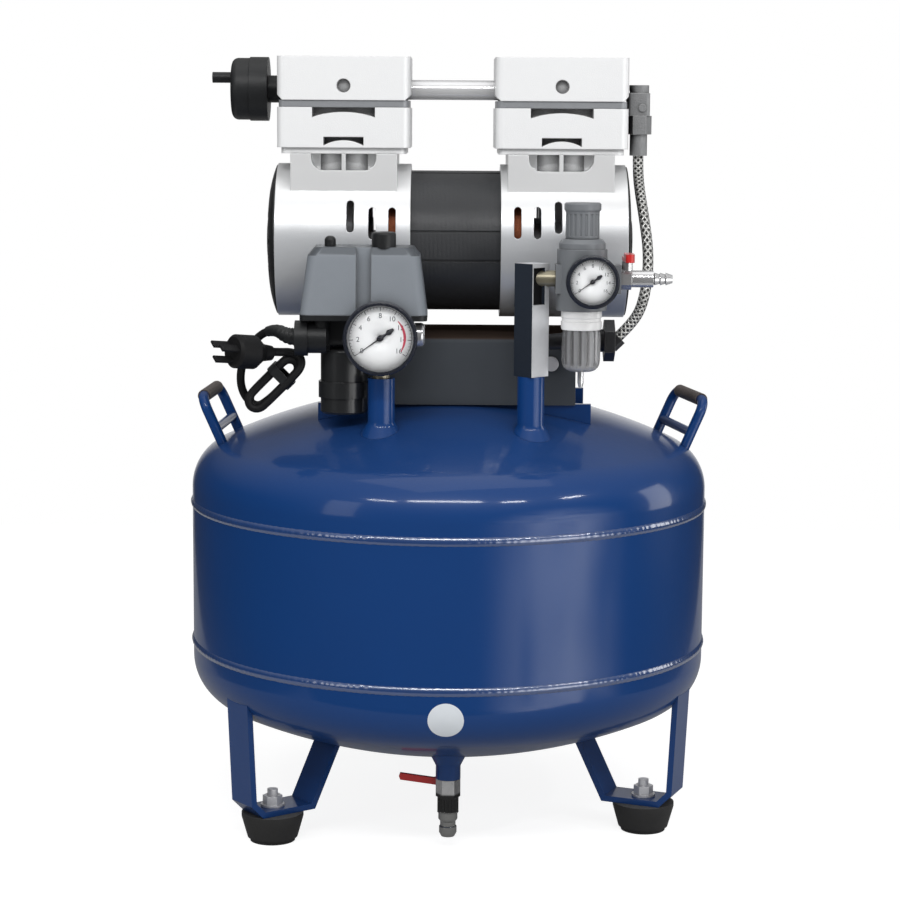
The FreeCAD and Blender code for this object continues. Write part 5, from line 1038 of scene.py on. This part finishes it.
def make_sticker():
    """Blank round label wrapped on the tank: a disc's points at (u, v) go to the angle u / r and the height
    v, at the head's own radius there plus the label's thickness, and its rim drops to the paint."""
    steps = np.array([0.0, 0.25, 0.5, 0.75, 0.93, 0.985, 1.0, 1.0, 0.5, 0.0]) * STICKER_RADIUS
    rise = np.array([1.0, 1.0, 1.0, 1.0, 1.0, 0.9, 0.6, -1.0, -1.0, -1.0]) * STICKER_THICKNESS
    angle = full_turn(72)
    u = steps[:, None] * np.cos(angle)
    z = STICKER_PLACE[1] + steps[:, None] * np.sin(angle)
    low = np.clip(SHELL_BOTTOM - HEAD_FLANGE - z, 0, HEAD_KNUCKLE)
    head = TANK_RADIUS - HEAD_KNUCKLE + np.sqrt(HEAD_KNUCKLE ** 2 - low ** 2)
    radius = head + rise[:, None]
    turn = STICKER_PLACE[0] / TANK_RADIUS + u / head
    grid = np.stack([radius * np.sin(turn), -radius * np.cos(turn), z], -1)
    mesh = finish_mesh(grid_mesh("blank_sticker", grid, False, True), 40)
    piece("blank_sticker", mesh, material=sticker_white)


dial_white = print_finish("dial card", (0.86, 0.87, 0.88))
dial_ink = print_finish("dial ink", (0.045, 0.050, 0.060))
dial_red = print_finish("dial red", (0.62, 0.060, 0.110))
sticker_white = print_finish("sticker film", (0.72, 0.76, 0.80), 0.35)
make_dial("tank_dial", TANK_DIAL, TANK_DIAL_FACE, TANK_DIAL_RADIUS, True)
make_dial("regulator_dial", REGULATOR_DIAL, REGULATOR_DIAL_FACE, REGULATOR_DIAL_RADIUS, False)
make_needle("tank_gauge_needle", TANK_DIAL, TANK_DIAL_FACE, TANK_DIAL_RADIUS)
make_needle("regulator_gauge_needle", REGULATOR_DIAL, REGULATOR_DIAL_FACE, REGULATOR_DIAL_RADIUS)
make_sticker()


# Camera, light and floor

# Strengths of the world: the dim room and its front for diffuse light, and what mirrors show of it
ROOM_LIGHT = 0.25
FRONT_LIGHT = 0.70
ROOM_GLOSS = 0.045
CEILING_GLOSS = 0.42
# Mirrors see the white backdrop where the y of a direction is over this
BACKDROP_EDGE = 0.93
# The floor's own light for the camera and for mirrors, its grey, and its ends in x and y
FLOOR_GLOW = 0.86
FLOOR_GLOSS = 0.12
FLOOR_GREY = 0.36
FLOOR_X = (-0.62, 0.62)
FLOOR_Y = (-0.42, 1.30)
# A blurred window low on the right: strength, direction, the cosine at its rim, and the clouds' stretch
PATCH_LIGHT = 4.2
PATCH_WAY = (0.744, -0.634, -0.208)
PATCH_RIM = 0.80
PATCH_STRETCH = (3.0, 3.0, 55.0)
# Name, place, aim, size and power in watts
LAMPS = (
    ("ceiling left", (-0.95, -1.55, 1.60), (0, 0, 0.35), (0.42, 0.07), 3.0),
    ("ceiling middle", (-0.05, -1.75, 1.70), (0, 0, 0.35), (1.10, 0.11), 12.0),
    ("ceiling right", (0.95, -1.60, 1.60), (0, 0, 0.35), (0.36, 0.06), 4.0),
    ("ceiling far right", (1.70, -0.95, 1.60), (0, 0, 0.35), (0.36, 0.06), 4.0),
    ("top", (0.10, -0.20, 2.10), (0, 0, 0.30), (1.60, 1.20), 5.0),
    ("front left", (-1.70, -1.60, 0.90), (0, 0, 0.35), (0.60, 1.20), 3.5),
    ("right edge", (1.70, 0.35, 0.50), (0, 0, 0.30), (0.50, 0.90), 4.0),
)


def soft_patch(tree, toward, glossy):
    """Cloudy light that only mirrors show: it falls off with the square of the cosine past its rim, and noise
    stretched sideways breaks it up."""
    near = combine(tree, "ShaderNodeVectorMath", toward, PATCH_WAY, operation="DOT_PRODUCT")
    fall = ramp(tree, near["Value"], PATCH_RIM, 5.6)
    stretched = combine(tree, "ShaderNodeVectorMath", toward, PATCH_STRETCH, operation="MULTIPLY")[0]
    clouds = add(tree, "ShaderNodeTexNoise", Vector=stretched, Scale=1.0, Detail=2.0, Distortion=0.6)
    broken = ramp(tree, clouds.outputs["Fac"], 0.34, 4.0)
    glow = maths(tree, "MULTIPLY", maths(tree, "MULTIPLY", fall, fall), broken)
    return maths(tree, "MULTIPLY", maths(tree, "MULTIPLY", glow, glossy), PATCH_LIGHT)


def ray_kinds(tree):
    """Whether a ray is the camera's or comes through glass, and whether it is a mirror's."""
    path = tree.nodes.new("ShaderNodeLightPath").outputs
    return maths(tree, "MAXIMUM", path["Is Camera Ray"], path["Is Transmission Ray"]), path["Is Glossy Ray"]


def make_world():
    """White for the camera and through glass, and for mirrors where they look back. Otherwise a dim room: its
    front grows with -y for diffuse light, and its ceiling with z for mirrors."""
    world = bpy.data.worlds.new("studio")
    bpy.context.scene.world = world
    world.use_nodes = True
    tree = world.node_tree
    seen, glossy = ray_kinds(tree)
    toward = tree.nodes.new("ShaderNodeTexCoord").outputs["Generated"]
    way = parts_of(tree, toward)
    behind = ramp(tree, way["Y"], BACKDROP_EDGE, 16.0)
    seen = maths(tree, "MAXIMUM", seen, maths(tree, "MULTIPLY", glossy, behind))
    front = maths(tree, "MULTIPLY", maths(tree, "MULTIPLY", way["Y"], -1.0, True), FRONT_LIGHT)
    diffuse = maths(tree, "ADD", front, ROOM_LIGHT)
    above = ramp(tree, way["Z"], 0.2, 1.6)
    gloss = maths(tree, "ADD", maths(tree, "MULTIPLY", above, CEILING_GLOSS), ROOM_GLOSS)
    drop = maths(tree, "MULTIPLY", maths(tree, "SUBTRACT", diffuse, gloss), glossy)
    room = maths(tree, "ADD", maths(tree, "SUBTRACT", diffuse, drop), soft_patch(tree, toward, glossy))
    level = maths(tree, "ADD", maths(tree, "MULTIPLY", seen, maths(tree, "SUBTRACT", 1.0, room)), room)
    set_up(tree, tree.nodes["Background"], Color=(1, 1, 1, 1), Strength=level)


def make_floor():
    """Grey floor that takes the shadows, with a light of its own that makes it white for the camera."""
    corners = np.stack(np.meshgrid(FLOOR_X, FLOOR_Y, indexing="ij"), -1)
    mesh = grid_mesh("floor", np.concatenate([corners, np.zeros((2, 2, 1))], -1))
    floor = new_object("floor", mesh)
    material, tree, bsdf = new_material("floor white")
    seen, glossy = ray_kinds(tree)
    glow = maths(tree, "MULTIPLY", seen, FLOOR_GLOW)
    gloss = maths(tree, "MULTIPLY", glossy, FLOOR_GLOSS)
    set_up(tree, bsdf, Base_Color=(FLOOR_GREY, FLOOR_GREY, FLOOR_GREY, 1), Roughness=0.9,
           Specular_IOR_Level=0.1, Emission_Color=(1, 1, 1, 1),
           Emission_Strength=maths(tree, "MAXIMUM", glow, gloss))
    mesh.materials.append(material)


def make_lamps():
    """A row of ceiling lamps and tall soft boxes, each turned to its aim."""
    for name, place, aim, size, power in LAMPS:
        light = bpy.data.lights.new(name, "AREA")
        light.shape = "RECTANGLE"
        light.size, light.size_y = size
        light.energy = power
        obj = new_object(name, light)
        obj.matrix_world = Matrix.Translation(place) @ look_matrix(np.subtract(place, aim))


def look_matrix(back):
    """Rotation whose +Z points along a direction, with its +Y as near up as can be."""
    z = np.asarray(back, float)
    z /= np.linalg.norm(z)
    x = np.cross((0, 0, 1), z)
    x /= np.linalg.norm(x)
    y = np.cross(z, x)
    return Matrix(np.stack([x, y, z], -1).tolist()).to_4x4()


# The camera's place, how far it looks down and is turned, in degrees, and its focal length in pixels of the
# photograph, with the photograph's width
CAMERA_PLACE = (0.00084, -1.900, 0.5497)
CAMERA_PITCH = 7.917
CAMERA_ROLL = 0.369
FOCAL_PIXELS = 2447.2
PHOTO_PIXELS = 900
SENSOR_WIDTH = 36.0


def make_camera():
    """Camera in front of the object, looking down by its pitch and turned about its own axis by its roll."""
    pitch, roll = math.radians(CAMERA_PITCH), math.radians(CAMERA_ROLL)
    side = np.array([1.0, 0, 0])
    up = np.array([0, math.sin(pitch), math.cos(pitch)])
    back = np.array([0, -math.cos(pitch), math.sin(pitch)])
    x = side * math.cos(roll) + up * math.sin(roll)
    y = up * math.cos(roll) - side * math.sin(roll)
    data = bpy.data.cameras.new("photograph")
    data.sensor_width = SENSOR_WIDTH
    data.lens = SENSOR_WIDTH * FOCAL_PIXELS / PHOTO_PIXELS
    data.clip_start = 0.1
    camera = new_object("photograph", data)
    turned = Matrix(np.stack([x, y, back], -1).tolist()).to_4x4()
    camera.matrix_world = Matrix.Translation(CAMERA_PLACE) @ turned
    bpy.context.scene.camera = camera


bpy.context.scene.view_settings.view_transform = "Standard"
make_world()
make_floor()
make_lamps()
make_camera()
